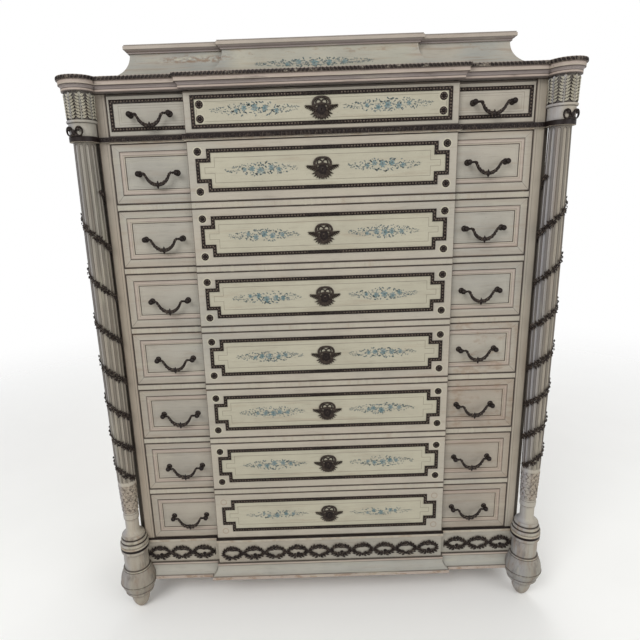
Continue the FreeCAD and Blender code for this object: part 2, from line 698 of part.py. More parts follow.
def plinth(clearance):
    """Boards with an applied base moulding on three sides, a rear rail and corner blocks."""
    cove_low = PLINTH_BASE_HIGH + 2.0
    cove_top = PLINTH_BASE_HIGH + PLINTH_COVE_HIGH
    bend = 1 - math.sqrt(0.5)
    drop = cove_top - cove_low
    reach = PLINTH_COVE_OUT - PLINTH_FILLET_OUT
    moulding = [
        (0.0, 0.0), (PLINTH_BASE_OUT, 0.0), (PLINTH_BASE_OUT, PLINTH_BASE_HIGH),
        (PLINTH_COVE_OUT, cove_low),
        (PLINTH_FILLET_OUT + reach * bend, cove_low + drop * bend, "arc"),
        (PLINTH_FILLET_OUT, cove_top), (PLINTH_FILLET_OUT, cove_top + PLINTH_FILLET_HIGH),
        (0.0, cove_top + PLINTH_FILLET_HIGH),
    ]
    path = broken_plan(CASE_HALF, 0.0, BREAK_HALF, CASE_DEPTH)
    base = run_along(path, moulding, PLINTH_CLEAR).cut(clearance)
    inner = CASE_HALF - PLINTH_THICK
    front = block(-inner, inner, 0, PLINTH_THICK, PLINTH_CLEAR, PLINTH_TOP).cut(clearance)
    facing = block(-BREAK_HALF, BREAK_HALF, -BREAK_OUT, 0, PLINTH_CLEAR, PLINTH_TOP)
    side = block(-CASE_HALF, -inner, 0, CASE_DEPTH, PLINTH_CLEAR, PLINTH_TOP).cut(clearance)
    rear = block(-inner, inner, CASE_DEPTH - PLINTH_THICK, CASE_DEPTH,
                 PLINTH_TOP - PLINTH_RAIL_HIGH, PLINTH_TOP)
    corner = block(-inner, -inner + CORNER_BLOCK, CASE_DEPTH - PLINTH_THICK - CORNER_BLOCK,
                   CASE_DEPTH - PLINTH_THICK, PLINTH_CLEAR, PLINTH_TOP)
    return [base, front, facing, rear] + both_sides(side) + both_sides(corner)


def front_feet():
    return both_sides(turned(foot_profile(), -COLUMN_X, -COLUMN_OUT))


def rear_feet():
    return both_sides(turned(rear_foot_profile(), -(CASE_HALF - REAR_FOOT_INSET),
                             CASE_DEPTH - BULB_R))


def capitals():
    return both_sides(turned(capital_profile(), -COLUMN_X, -COLUMN_OUT))


def column_shafts():
    shaft = column_shaft()
    shaft.translate(Vector(-COLUMN_X, -COLUMN_OUT, 0))
    return both_sides(shaft)


# ---------------------------------------------------------------- bronze bands
def front_strip(half, proud, low, high):
    """A strip along the front face of the stiles, following the forward centre."""
    outer = block(-half, half, -proud, 0, low, high)
    centre = block(-BREAK_HALF - proud, BREAK_HALF + proud, -BREAK_OUT - proud, 0, low, high)
    hidden = block(-BREAK_HALF, BREAK_HALF, -BREAK_OUT, 0, low, high)
    return joined([outer, centre]).cut(hidden)


def column_ring(inner, outer, low, high):
    spot = Vector(-COLUMN_X, -COLUMN_OUT, low)
    return Part.makeCylinder(outer, high - low, spot).cut(
        Part.makeCylinder(inner, high - low, spot))


def corner_drum(radius, low, high):
    return Part.makeCompound(both_sides(
        Part.makeCylinder(radius, high - low, Vector(-COLUMN_X, -COLUMN_OUT, low))))


def waist_moulding():
    """Bronze band with a wooden fillet under it, and a ring round each column."""
    top = WAIST_LOW + WAIST_HIGH
    drums = corner_drum(WAIST_RING_R + TURNED_PLAY, WAIST_RAIL_LOW, top)
    band = front_strip(STILE_OUTER, WAIST_PROUD, WAIST_LOW, top).cut(drums)
    fillet = front_strip(OPENING_HALF, WAIST_FILLET_PROUD, WAIST_RAIL_LOW, WAIST_LOW).cut(drums)
    return [band, fillet] + both_sides(column_ring(CAPITAL_CORE_R, WAIST_RING_R, WAIST_LOW, top))


def plinth_band():
    top = BAND_LOW + BAND_HIGH
    drums = corner_drum(TORUS_R + TURNED_PLAY, BAND_LOW, top)
    band = front_strip(STILE_OUTER, BAND_PROUD, BAND_LOW, top).cut(drums)
    return [band] + both_sides(column_ring(TORUS_R - 2.5, TORUS_R, BAND_LOW, top))


def wreath(x, face):
    """An oval ring on the face of the plinth."""
    z = PLINTH_TOP - WREATH_UP

    def oval(inset):
        corners = []
        for k in range(WREATH_SIDES):
            angle = 2 * math.pi * (k + 0.5) / WREATH_SIDES
            corners.append(Vector(x + (WREATH_LONG / 2 - inset) * math.cos(angle), face,
                                  z + (WREATH_HIGH / 2 - inset) * math.sin(angle)))
        plate = Part.Face(Part.makePolygon(corners + corners[:1]))
        return plate.extrude(Vector(0, -WREATH_PROUD, 0))

    return oval(0.0).cut(oval(WREATH_BAND))


def plinth_wreaths():
    wreaths = []
    for k in range(SIDE_WREATHS):
        x = SIDE_WREATH_IN - DRAWER_HALF + (k - (SIDE_WREATHS - 1) / 2) * WREATH_PITCH
        wreaths += both_sides(wreath(x, 0.0))
    for k in range(CENTRE_WREATHS):
        x = (k - (CENTRE_WREATHS - 1) / 2) * WREATH_PITCH
        wreaths.append(wreath(x, -BREAK_OUT))
    return wreaths


def column_bows():
    """Two upright ribbon loops standing off the collar of each column."""
    loops = []
    reach = CAPITAL_DRUM_R + TURNED_PLAY
    for side in (-1, 1):
        for turn in (-BOW_SPREAD, BOW_SPREAD):
            angle = math.radians(side * (BOW_AZIMUTH + turn))
            outward = Vector(math.sin(angle), -math.cos(angle), 0)
            spot = Vector(side * COLUMN_X, -COLUMN_OUT, WAIST_LOW + WAIST_HIGH + BOW_UP)
            spot = spot + outward * reach
            loop = Part.makeCylinder(BOW_LOOP_R, BOW_RIBBON, spot, outward)
            hole = Part.makeCylinder(BOW_LOOP_R - BOW_THICK, BOW_RIBBON, spot, outward)
            loops.append(loop.cut(hole))
    return loops


# ---------------------------------------------------------------- drawers
def keyhole(z, front, back):
    """Round hole with a slot under it, through everything between two depths."""
    hole = Part.makeCylinder(KEYHOLE_R, back - front, Vector(0, front, z), Vector(0, 1, 0))
    slot = block(-KEYHOLE_R / 2, KEYHOLE_R / 2, front, back, z - KEYHOLE_DROP, z)
    return joined([hole, slot])


def lock_room(z):
    return block(-LOCK_WIDE / 2, LOCK_WIDE / 2, FRONT_THICK - LOCK_THICK, FRONT_THICK,
                 z - LOCK_HIGH / 2, z + LOCK_HIGH / 2)


def box_levels(low, high):
    return low - DRAWER_GAP + RUNNER_PLAY, high - BOX_DROP


def panel_moulding(low, high):
    """Applied moulding on three sides of the left side panel, mitred at its outer corners."""
    z0, z1 = low + PANEL_FOOT_MARGIN, high - PANEL_TOP_MARGIN
    left, right = -DRAWER_HALF + PANEL_END_MARGIN, -BREAK_HALF
    corners = [Vector(right, 0, z0), Vector(left, 0, z0), Vector(left, 0, z1),
               Vector(right, 0, z1)]
    profile = [(0.0, 0.0), (0.0, PANEL_PROUD * 0.4), (PANEL_MOULD * 0.2, PANEL_PROUD),
               (PANEL_MOULD * 0.62, PANEL_PROUD), (PANEL_MOULD, PANEL_PROUD * 0.25),
               (PANEL_MOULD, 0.0)]
    return [mitred_bar(corners[k], corners[k + 1], Vector(0, -1, 0), profile, mitres)
            for k, mitres in enumerate([(0, 1), (1, 1), (1, 0)])]


def drawer_front(row):
    """Board, forward centre facing and applied mouldings, each its own solid."""
    low, high = drawer_levels(row)
    middle = (low + high) / 2
    box_low, box_high = box_levels(low, high)
    board = block(-DRAWER_HALF, DRAWER_HALF, 0, FRONT_THICK, low, high)
    centre = block(-BREAK_HALF, BREAK_HALF, -BREAK_OUT, 0, low, high)
    laps = both_sides(block(-DRAWER_HALF, -BOX_HALF + BOX_SIDE, FRONT_THICK - LAP, FRONT_THICK,
                            low, box_high))
    groove = block(-BOX_HALF, BOX_HALF, FRONT_THICK - GROOVE, FRONT_THICK,
                   box_low + BOTTOM_UP, box_low + BOTTOM_UP + BOTTOM_THICK)
    hole = keyhole(middle, -BREAK_OUT, FRONT_THICK - LOCK_THICK)
    pull_x = FRIEZE_BAIL_X if row == 1 else BAIL_X
    studs = [Part.makeCylinder(STUD_R, FRONT_THICK, Vector(side * pull_x + end * POST_HALF, 0, middle),
                               Vector(0, 1, 0))
             for side in (-1, 1) for end in (-1, 1)]
    board = board.cut(Part.makeCompound(laps + [groove, hole, lock_room(middle)] + studs))
    solids = [board, centre.cut(hole)]
    if row > 1:
        for bar in panel_moulding(low, high):
            solids += both_sides(bar)
    return solids


def drawer_box(row):
    """Two sides, back and bottom, each its own solid."""
    low, high = drawer_levels(row)
    box_low, box_high = box_levels(low, high)
    floor = box_low + BOTTOM_UP
    side = block(-BOX_HALF, -BOX_HALF + BOX_SIDE, BOX_START, BOX_END, box_low, box_high)
    inner = BOX_HALF - BOX_SIDE
    bottom = block(-inner - GROOVE, inner + GROOVE, FRONT_THICK - GROOVE, BOX_END,
                   floor, floor + BOTTOM_THICK)
    side = side.cut(bottom)
    back = block(-inner, inner, BOX_END - BOX_SIDE, BOX_END, floor + BOTTOM_THICK, box_high)
    return both_sides(side) + [back, bottom]


def strip_frame(half, low, high, margin_top, margin_foot, notch_w, notch_h, face):
    """A flat bronze strip round a panel, stepping in at its corners."""
    centre = (low + margin_foot + high - margin_top) / 2
    half_high = (high - margin_top - low - margin_foot) / 2

    def ring(inset):
        w, h = half - inset, half_high - inset
        quarter = [(w, h - notch_h), (w - notch_w, h - notch_h), (w - notch_w, h)]
        if notch_w == 0:
            quarter = [(w, h)]
        points = quarter + [(-x, z) for x, z in reversed(quarter)]
        points += [(-x, -z) for x, z in quarter] + [(x, -z) for x, z in reversed(quarter)]
        corners = [Vector(x, face, centre + z) for x, z in points]
        wire = Part.makePolygon(corners + corners[:1])
        return Part.Face(wire).extrude(Vector(0, -STRIP_PROUD, 0))

    return ring(0.0).cut(ring(STRIP_WIDE))


def side_strip(low, high):
    """Three-sided strip on the left panel of the frieze drawer."""
    z0, z1 = low + FRIEZE_STRIP_MARGIN, high - FRIEZE_STRIP_MARGIN
    outer = FRIEZE_STRIP_END - DRAWER_HALF
    plate = block(outer, -BREAK_HALF, -STRIP_PROUD, 0, z0, z1)
    field = block(outer + FRIEZE_STRIP_WIDE, -BREAK_HALF, -STRIP_PROUD, 0,
                  z0 + STRIP_WIDE, z1 - STRIP_WIDE)
    return plate.cut(field)


def rosette(x, z):
    face = -BREAK_OUT
    stations = [(face, ROSETTE_R), (face - ROSETTE_PROUD * 0.5, ROSETTE_R),
                (face - ROSETTE_PROUD, ROSETTE_R * 0.4)]
    return studded(x, z, stations, ROSETTE_SIDES)


def escutcheon(z):
    """Pierced plate: crown-like arched top, leafy side wings, three-pointed foot."""
    w, h = ESCUTCHEON_HALF, ESCUTCHEON_HIGH
    right = [
        (0.05, 0.50), (0.06, 0.44), (0.28, 0.40), (0.44, 0.30), (0.36, 0.17), (0.30, 0.11),
        (0.62, 0.13), (0.80, 0.05), (1.00, 0.04), (0.84, -0.06), (0.66, -0.04), (0.52, -0.16),
        (0.44, -0.14), (0.42, -0.36), (0.26, -0.30), (0.14, -0.38), (0.0, -0.50),
    ]
    points = [(x * w, y * h) for x, y in right]
    points += [(-x, y) for x, y in reversed(points[:-1])]
    face = -BREAK_OUT
    corners = [Vector(x, face, z + y) for x, y in points]
    plate = Part.Face(Part.makePolygon(corners + corners[:1])).extrude(
        Vector(0, -ESCUTCHEON_PROUD, 0))
    arch = [(-0.26, 0.20), (-0.28, 0.29), (-0.10, 0.35), (-0.06, 0.20)]
    pierced = []
    for side in (-1, 1):
        corners = [Vector(side * x * w, face, z + y * h) for x, y in arch]
        pierced.append(Part.Face(Part.makePolygon(corners + corners[:1])).extrude(
            Vector(0, -ESCUTCHEON_PROUD, 0)))
    pierced.append(keyhole(z, face - ESCUTCHEON_PROUD, face))
    return plate.cut(Part.makeCompound(pierced))


def post(x, z, towards):
    """Stud, nut, stem and knob of one post, bored for the end of the bail."""
    stations = [(0.0, KNOB_R * 0.8), (-2.0, POST_R), (-POST_OUT + KNOB_LONG * 0.5, POST_R),
                (-POST_OUT + KNOB_LONG * 0.3, KNOB_R), (-POST_OUT - KNOB_LONG * 0.3, KNOB_R),
                (-POST_OUT - KNOB_LONG * 0.5, POST_R)]
    knob = studded(x, z, stations, BAR_SIDES)
    face_x = x + towards * KNOB_R
    bore = Part.makeCylinder(PIN_R + PIN_PLAY, PIN_LONG + PIN_PLAY, Vector(face_x, -POST_OUT, z),
                             Vector(-towards, 0, 0))
    stud = studded(x, z, [(FRONT_THICK + NUT_THICK, STUD_R), (0.0, STUD_R)], BAR_SIDES)
    nut = block(x - NUT_HALF, x + NUT_HALF, FRONT_THICK, FRONT_THICK + NUT_THICK,
                z - NUT_HALF, z + NUT_HALF)
    return joined([knob, stud, nut]).cut(bore)


def pull_centre(row, side):
    low, high = drawer_levels(row)
    x = FRIEZE_BAIL_X if row == 1 else BAIL_X
    return side * x, (low + high) / 2


def drawer_mounts(row):
    """Bronze frames, rosettes, escutcheon and posts, with the lock behind the front."""
    low, high = drawer_levels(row)
    middle = (low + high) / 2
    face = -BREAK_OUT
    solids = [escutcheon(middle), lock_room(middle)]
    if row == 1:
        solids.append(strip_frame(BREAK_HALF - FRIEZE_FRAME_END, low, high, FRIEZE_FRAME_MARGIN,
                                  FRIEZE_FRAME_MARGIN, 0, 0, face))
        solids += both_sides(side_strip(low, high))
        rosette_x = BREAK_HALF - FRIEZE_ROSETTE_END
        levels = (high - FRIEZE_ROSETTE_MARGIN, low + FRIEZE_ROSETTE_MARGIN)
    else:
        solids.append(strip_frame(BREAK_HALF - CENTRE_FRAME_END, low, high, CENTRE_FRAME_TOP,
                                  CENTRE_FRAME_FOOT, NOTCH_WIDE, NOTCH_HIGH, face))
        rosette_x = BREAK_HALF - ROSETTE_END
        levels = (high - ROSETTE_TOP, low + ROSETTE_FOOT)
    if row < ROWS:
        for z in levels:
            solids += [rosette(-rosette_x, z), rosette(rosette_x, z)]
    for side in (-1, 1):
        x, z = pull_centre(row, side)
        solids += [post(x - POST_HALF, z, 1), post(x + POST_HALF, z, -1)]
    return solids


def bail(row, side):
    """Swan-neck bail: a faceted bar with a pin at each end and a bud in the middle."""
    x0, z0 = pull_centre(row, side)
    reach = POST_HALF - KNOB_R - FINGER_GAP
    line = [(-reach - FINGER_GAP - PIN_LONG + PIN_PLAY, 0.0, PIN_R), (-reach - 0.2, 0.0, PIN_R),
            (-reach, 0.0, BAIL_R)]
    flat = reach - BAIL_LEVEL
    for k in range(BAIL_STEPS + 1):
        share = k / BAIL_STEPS
        drop = BAIL_DROP * (1 - math.cos(math.pi * share)) / 2
        line.append((-flat + (flat - BUD_HALF) * share, -drop, BAIL_R))
    line.append((-BUD_HALF * 0.35, -BAIL_DROP, BUD_R))
    line += [(-x, z, r) for x, z, r in reversed(line)]
    rings = []
    for k, (x, z, r) in enumerate(line):
        before = line[max(k - 1, 0)]
        after = line[min(k + 1, len(line) - 1)]
        along = Vector(after[0] - before[0], 0, after[1] - before[1])
        along.normalize()
        rings.append(ring_points(Vector(x0 + x, -POST_OUT, z0 + z), r, BAR_SIDES, along,
                                 Vector(0, 1, 0)))
    return faceted(rings)


# ---------------------------------------------------------------- the whole chest
def main():
    os.makedirs("parts", exist_ok=True)
    clearance = turned_clearance()
    side = side_panel(clearance)
    top = top_board()
    save("side_left", *side)
    save("side_right", *[mirrored(piece) for piece in side])
    save("back_panel", back_panel())
    save("top_board", top)
    save("bottom_board", bottom_board())
    save("dust_boards", *dust_boards())
    save("drawer_guides", *drawer_guides())
    save("stiles_and_rails", *stiles_and_rails(clearance))
    save("cornice", cornice(top))
    save("crown_cove", *crown_cove())
    save("crown_cap", crown_cap())
    save("capitals", *capitals())
    save("column_shafts", *column_shafts())
    save("column_bows", *column_bows())
    save("front_feet", *front_feet())
    save("rear_feet", *rear_feet())
    save("plinth", *plinth(clearance))
    save("plinth_band", *plinth_band())
    save("plinth_wreaths", *plinth_wreaths())
    save("waist_moulding", *waist_moulding())
    for row in range(1, ROWS + 1):
        save(f"drawer_{row}_front", *drawer_front(row))
        save(f"drawer_{row}_box", *drawer_box(row))
        save(f"drawer_{row}_mounts", *drawer_mounts(row))
        save(f"drawer_{row}_bail_left", bail(row, -1))
        save(f"drawer_{row}_bail_right", bail(row, 1))


main()
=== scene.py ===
import functools
import math
import random

import bmesh
import bpy
from mathutils import Matrix, Vector


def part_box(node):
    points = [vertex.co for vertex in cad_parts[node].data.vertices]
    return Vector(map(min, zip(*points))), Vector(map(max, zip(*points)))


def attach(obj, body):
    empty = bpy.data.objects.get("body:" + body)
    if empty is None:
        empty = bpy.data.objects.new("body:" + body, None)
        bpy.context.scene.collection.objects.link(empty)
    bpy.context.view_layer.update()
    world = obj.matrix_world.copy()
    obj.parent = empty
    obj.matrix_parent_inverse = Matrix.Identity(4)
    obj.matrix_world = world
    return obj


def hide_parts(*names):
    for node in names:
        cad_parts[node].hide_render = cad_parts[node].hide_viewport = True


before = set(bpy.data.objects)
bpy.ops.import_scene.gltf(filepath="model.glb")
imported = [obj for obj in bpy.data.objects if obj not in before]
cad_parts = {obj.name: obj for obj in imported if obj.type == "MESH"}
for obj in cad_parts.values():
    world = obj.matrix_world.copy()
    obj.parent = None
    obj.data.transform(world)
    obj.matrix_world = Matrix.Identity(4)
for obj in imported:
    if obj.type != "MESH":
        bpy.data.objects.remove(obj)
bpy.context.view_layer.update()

bl_info = {
    "name": "Painted tall chest",
    "version": (1, 0, 0),
    "blender": (4, 5, 0),
    "location": "View3D > Sidebar > Chest",
    "description": "Dresses a tall chest of drawers: old paint, bronze mounts, carving and sprays",
    "category": "Object",
}

MM = 0.001

# ---------------------------------------------------------------- places, from the frame
ROWS = range(1, 9)
BREAK_OUT = 14 * MM                     # the middle of every front stands this far forward
SIDE_PANEL = 185 * MM                   # width of the drawer face beside it
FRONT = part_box("drawer_2_front")
CENTRE_FACE = FRONT[0].y
PANEL_FACE = CENTRE_FACE + BREAK_OUT
FRONT_BACK = FRONT[1].y
DRAWER_HALF = FRONT[1].x
BREAK_HALF = DRAWER_HALF - SIDE_PANEL
CELL_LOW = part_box("drawer_8_front")[0].z
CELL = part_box("drawer_7_front")[0].z - CELL_LOW
DRAWER_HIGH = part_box("drawer_8_front")[1].z - CELL_LOW
RAIL_HIGH = CELL - DRAWER_HIGH
FRIEZE_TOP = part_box("drawer_1_front")[1].z

BULB_R = 51.5 * MM
COLUMN_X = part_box("front_feet")[1].x - BULB_R
COLUMN_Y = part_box("front_feet")[0].y + BULB_R
SHAFT_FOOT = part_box("column_shafts")[0].z
SHAFT_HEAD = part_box("column_shafts")[1].z
CAPITAL_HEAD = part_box("capitals")[1].z
CASE_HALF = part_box("top_board")[1].x
CASE_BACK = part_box("top_board")[1].y
STILE_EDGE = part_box("stiles_and_rails")[1].x
TOP_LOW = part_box("top_board")[0].z
TOP_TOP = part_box("top_board")[1].z
CROWN_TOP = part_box("crown_cap")[0].z
PLINTH_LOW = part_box("plinth")[0].z
PLINTH_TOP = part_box("plinth")[1].z


def rgb(red, green, blue):
    """A display colour, 0 to 255 a channel, as linear values."""
    channels = []
    for part in (red, green, blue):
        share = part / 255
        linear = share / 12.92 if share <= 0.04045 else ((share + 0.055) / 1.055) ** 2.4
        channels.append(linear)
    return tuple(channels)


def colour(name, description, red, green, blue):
    return bpy.props.FloatVectorProperty(
        name=name, description=description, subtype="COLOR", size=3, min=0, max=1,
        default=rgb(red, green, blue))


def length(name, description, millimetres):
    return bpy.props.FloatProperty(
        name=name, description=description, default=millimetres * MM, unit="LENGTH",
        subtype="DISTANCE", precision=4)


class ChestColours(bpy.types.PropertyGroup):
    """Finishes of the chest."""

    cream: colour("Cream", "Field of the drawer centres", 166, 161, 142)
    ground: colour("Ground", "Greyish cream paint of the case", 163, 155, 141)
    cool: colour("Cool grey", "Greenish grey that shows in patches", 146, 147, 141)
    pink: colour("Pink", "Mouldings and the cornice", 162, 148, 137)
    lilac: colour("Lilac grey", "Hollow of the cornice and its underside", 132, 122, 118)
    # dark antique glazing colour, also laid as painted shade in hollows, drawer gaps, under the
    # cornice and beside the columns
    glaze_and_shade: colour("Glaze", "Dark antique glaze in hollows and lines", 50, 41, 36)
    undercoat: colour("Undercoat", "Brown that shows where paint is rubbed off", 128, 105, 84)
    # painted light: a cool lilac blue laid on the left flanks of the columns, feet and capitals, as
    # if lit from the left
    painted_cool_light: colour("Lilac blue", "Cool tone on the columns' left sides", 150, 153, 165)
    blue: colour("Spray blue", "Muted blue green of the painted sprays", 82, 106, 108)
    bronze: colour("Bronze", "Dark patinated bronze", 27, 19, 17)
    # paler bronze of the handled edges, also laid as painted highlights on bead tops and ridges of
    # the castings
    bronze_wear_and_highlight: colour("Worn bronze", "Handled edges of the bronze", 150, 134, 118)
    bare_wood: colour("Bare wood", "Unpainted softwood inside and behind", 168, 134, 96)
    floor: colour("Floor", "Plain pale floor", 249, 249, 247)


class ChestSizes(bpy.types.PropertyGroup):
    """Sizes of the carved and cast trim."""

    flutes: bpy.props.IntProperty(
        name="Flutes", description="Hollow flutes round each column", default=12, min=4)
    flute_radius: length("Flute radius", "Radius of the hollow of a flute", 4.2)
    flute_depth: length("Flute depth", "Depth of a flute", 3.0)
    garland_leaf: length("Garland leaf", "Length of a garland leaf", 9.5)
    bead_pitch: length("Bead pitch", "Distance between the beads of the bronze strips", 7.4)
    strip_width: length("Strip width", "Width of the bronze strips", 9.2)
    rosette_radius: length("Rosette radius", "Radius of the corner rosettes", 9)
    edge_leaf: length("Edge leaf", "Width of one leaf of the cornice edge", 9)
    wreath_leaf: length("Wreath leaf", "Length of a laurel leaf on the plinth", 10.5)
    spray_height: length("Spray height", "Height of a painted spray", 32)


# ---------------------------------------------------------------- shader arithmetic
MIX_FACTOR, MIX_FIRST, MIX_SECOND, MIX_RESULT = 0, 6, 7, 2     # colour sockets of a Mix node


class Shade:
    """A socket in a material; arithmetic on it adds the nodes that work it out."""

    def __init__(self, tree, socket=None):
        self.tree = tree
        self.socket = socket

    def node(self, kind, settings=None, inputs=None, output=0):
        """Add a node: settings first, then a value or a link for each named socket."""
        made = self.tree.nodes.new(kind)
        for name, value in (settings or {}).items():
            setattr(made, name, value)
        for name, value in (inputs or {}).items():
            if isinstance(value, Shade):
                self.tree.links.new(value.socket, made.inputs[name])
            else:
                made.inputs[name].default_value = value
        return Shade(self.tree, made.outputs[output])

    def maths(self, operation, *values):
        return self.node("ShaderNodeMath", {"operation": operation}, dict(enumerate(values)))

    def __add__(self, other):
        return self.maths("ADD", self, other)

    def __radd__(self, other):
        return self.maths("ADD", other, self)

    def __sub__(self, other):
        return self.maths("SUBTRACT", self, other)

    def __rsub__(self, other):
        return self.maths("SUBTRACT", other, self)

    def __mul__(self, other):
        return self.maths("MULTIPLY", self, other)

    def __rmul__(self, other):
        return self.maths("MULTIPLY", other, self)

    def __mod__(self, other):
        return self.maths("FLOORED_MODULO", self, other)

    def __abs__(self):
        return self.maths("ABSOLUTE", self)

    def most(self, other):
        return self.maths("MAXIMUM", self, other)

    def least(self, other):
        return self.maths("MINIMUM", self, other)

    def between(self, low, high):
        """0 below low, 1 above high, smooth in between."""
        return self.node("ShaderNodeMapRange", {"interpolation_type": "SMOOTHSTEP"},
                         {"Value": self, "From Min": low, "From Max": high})

    def inside(self, low, high, soft=0.3 * MM):
        return self.between(low - soft, low + soft) * (1 - self.between(high - soft, high + soft))

    def line(self, place, half):
        """1 on a line at a place, fading to 0 at its edges."""
        return 1 - abs(self - place).between(half * 0.5, half * 1.3)

    def far(self, other):
        """Distance for this offset and another one at right angles to it."""
        return self.maths("SQRT", self * self + other * other)

    def blend(self, first, second, factor):
        """The first colour mixed towards the second; each is three numbers or a socket."""
        first, second = (tint if isinstance(tint, Shade) else (*tint, 1.0)
                         for tint in (first, second))
        return self.node("ShaderNodeMix", {"data_type": "RGBA"}, {
            MIX_FACTOR: factor, MIX_FIRST: first, MIX_SECOND: second}, output=MIX_RESULT)

    def under(self, *layers):
        """This colour with (colour, mask) layers laid over it in order."""
        base = self
        for tint, mask in layers:
            base = self.blend(base, tint, mask)
        return base

    def bump(self, strength, distance):
        """A normal that follows this height."""
        return self.node("ShaderNodeBump", None, {
            "Strength": strength, "Distance": distance, "Height": self})

    def stretched(self, x, y, z):
        return self.node("ShaderNodeVectorMath", {"operation": "MULTIPLY"},
                         {0: self, 1: (x, y, z)})

    def noise(self, scale, detail=3.0, roughness=0.55):
        """Noise over this place, about 0.5 on average."""
        return self.node("ShaderNodeTexNoise", None, {
            "Vector": self, "Scale": scale, "Detail": detail, "Roughness": roughness})

    def axis(self, index):
        return self.node("ShaderNodeSeparateXYZ", None, {0: self}, output=index)


def toned(tint, share):
    """A colour made darker or lighter."""
    return tuple(share * part for part in tint)


def start_material(name):
    """A new material; gives it, the place on the object and its shader node."""
    material = bpy.data.materials.new(name)
    material.use_nodes = True
    tree = material.node_tree
    place = Shade(tree).node("ShaderNodeTexCoord", output="Object")
    return material, place, tree.nodes["Principled BSDF"]


def feed(shader, **sockets):
    """Give the shader's sockets values or links; an underscore stands for a space."""
    for word, value in sockets.items():
        socket = shader.inputs[word.replace("_", " ")]
        if isinstance(value, Shade):
            value.tree.links.new(value.socket, socket)
        else:
            socket.default_value = value


def crevices(place, reach):
    """1 deep in a hollow, 0 in the open."""
    return 1 - place.node("ShaderNodeAmbientOcclusion", {"samples": 6, "only_local": True},
                          {"Distance": reach}, output="AO")


def rubbed_edges(place, radius):
    """1 along sharp edges."""
    rounded = place.node("ShaderNodeBevel", {"samples": 4}, {"Radius": radius})
    normal = place.node("ShaderNodeNewGeometry", output="Normal")
    same = place.node("ShaderNodeVectorMath", {"operation": "DOT_PRODUCT"},
                      {0: rounded, 1: normal}, output="Value")
    return (1 - same).between(0.03, 0.22)


def old_paint(name, ground, tints, grain=(1, 1, 1), marks=None, hollow=7 * MM):
    """Brushed paint: shifting tones, brush marks, antique glazing and painted shade darkening the
    hollows, rubbed edges.

    marks(place, tints) gives (colour, mask) pairs that are laid over the ground in order.
    """
    material, place, shader = start_material(name)
    drift = place.noise(2.3, 3).between(0.42, 0.66)
    cloud = place.noise(9.0, 5, 0.6).between(0.35, 0.75)
    streaks = place.stretched(*grain).noise(210, 4, 0.6)
    broad = place.stretched(*grain).noise(60, 5, 0.65)
    smear = place.noise(34, 4, 0.65)
    grime_and_shade = crevices(place, hollow)
    edge = rubbed_edges(place, 1.1 * MM) * (1 - grime_and_shade.between(0.1, 0.35))
    chips = place.noise(75, 5, 0.7).between(0.52, 0.60) * edge
    base = place.blend(ground, tints.cool, drift * 0.4).under(
        *(marks(place, tints) if marks else ()),
        (tints.glaze_and_shade, cloud * 0.12 + streaks.between(0.5, 0.8) * 0.16),
        (tints.undercoat, broad.between(0.52, 0.72) * 0.22),
        (tints.cream, (1 - broad.between(0.30, 0.46)) * 0.35),
        # painted shade with antique glazing: the more a hollow is occluded, the darker it is
        # painted
        (tints.glaze_and_shade, (grime_and_shade.between(0.12, 0.6) * (0.66 + 0.5 * smear)).least(0.94)),
        (tints.undercoat, (chips + edge * 0.18).least(1.0)),
        (tints.glaze_and_shade, place.noise(430, 2).between(0.70, 0.76) * 0.5))
    height = streaks * 0.7 + smear * 0.3 - chips * 0.5
    feed(shader, Base_Color=base, Normal=height.bump(0.35, 0.5 * MM),
         Roughness=0.48 + smear * 0.22 + grime_and_shade * 0.1, Specular_IOR_Level=0.35)
    return material


SOOT = (0.006, 0.005, 0.005)            # what gathers in the hollows of the bronze


def old_bronze(name, tints, raised=None):
    """Dark bronze with dull brown patina, soot in the hollows, paler handled edges and painted
    highlights on its ridges.

    raised(place) gives a mask for parts that get a painted highlight.
    """
    material, place, shader = start_material(name)
    patina = place.noise(60, 5, 0.65)
    ridge = place.node("ShaderNodeNewGeometry", output="Pointiness").between(0.53, 0.63)
    worn = rubbed_edges(place, 0.5 * MM) * place.noise(130, 3).between(0.42, 0.62)
    # painted highlight: convex ridges of the casting made paler
    worn = worn.most(ridge * place.noise(190, 3).between(0.46, 0.66) * 0.4)
    if raised is not None:
        worn = worn.most(raised(place) * place.noise(260, 2).between(0.30, 0.5))
    brown = patina.between(0.35, 0.7) * 0.5
    base = place.blend(tints.bronze, toned(tints.bronze, 0.55), brown).under(
        # paler bronze for handled wear and for painted highlights
        (tints.bronze_wear_and_highlight, worn * 0.7),
        (SOOT, crevices(place, 2.5 * MM).between(0.25, 0.8) * 0.7))
    feed(shader, Base_Color=base, Normal=place.noise(900, 3).bump(0.4, 0.25 * MM),
         Metallic=0.1 + worn * 0.5, Roughness=0.34 + patina * 0.2 - worn * 0.08,
         Specular_IOR_Level=0.18)
    return material


def shared_bronze(tints):
    """The bronze of every cast piece but the drawer mounts."""
    return bpy.data.materials.get("old_bronze") or old_bronze("old_bronze", tints)


def two_finishes(name, tints, bronze_mask):
    """Dark bronze where the mask is 1 and old paint elsewhere."""
    material, place, shader = start_material(name)
    metal = bronze_mask(place)
    cloud = place.noise(40, 5, 0.6)
    paint = place.blend(tints.ground, tints.undercoat, cloud.between(0.4, 0.7) * 0.5).under(
        # painted shade with antique glazing in the hollows of the paint
        (tints.glaze_and_shade, crevices(place, 4 * MM).between(0.2, 0.8) * 0.7))
    edge = rubbed_edges(place, 0.6 * MM) * cloud.between(0.42, 0.6)
    dark = place.blend(tints.bronze, tints.bronze_wear_and_highlight, edge * 0.6)
    feed(shader, Base_Color=place.blend(paint, dark, metal),
         Normal=place.noise(600, 3).bump(0.4, 0.3 * MM), Metallic=metal * 0.1,
         Roughness=0.6 - metal * 0.18, Specular_IOR_Level=0.18)
    return material


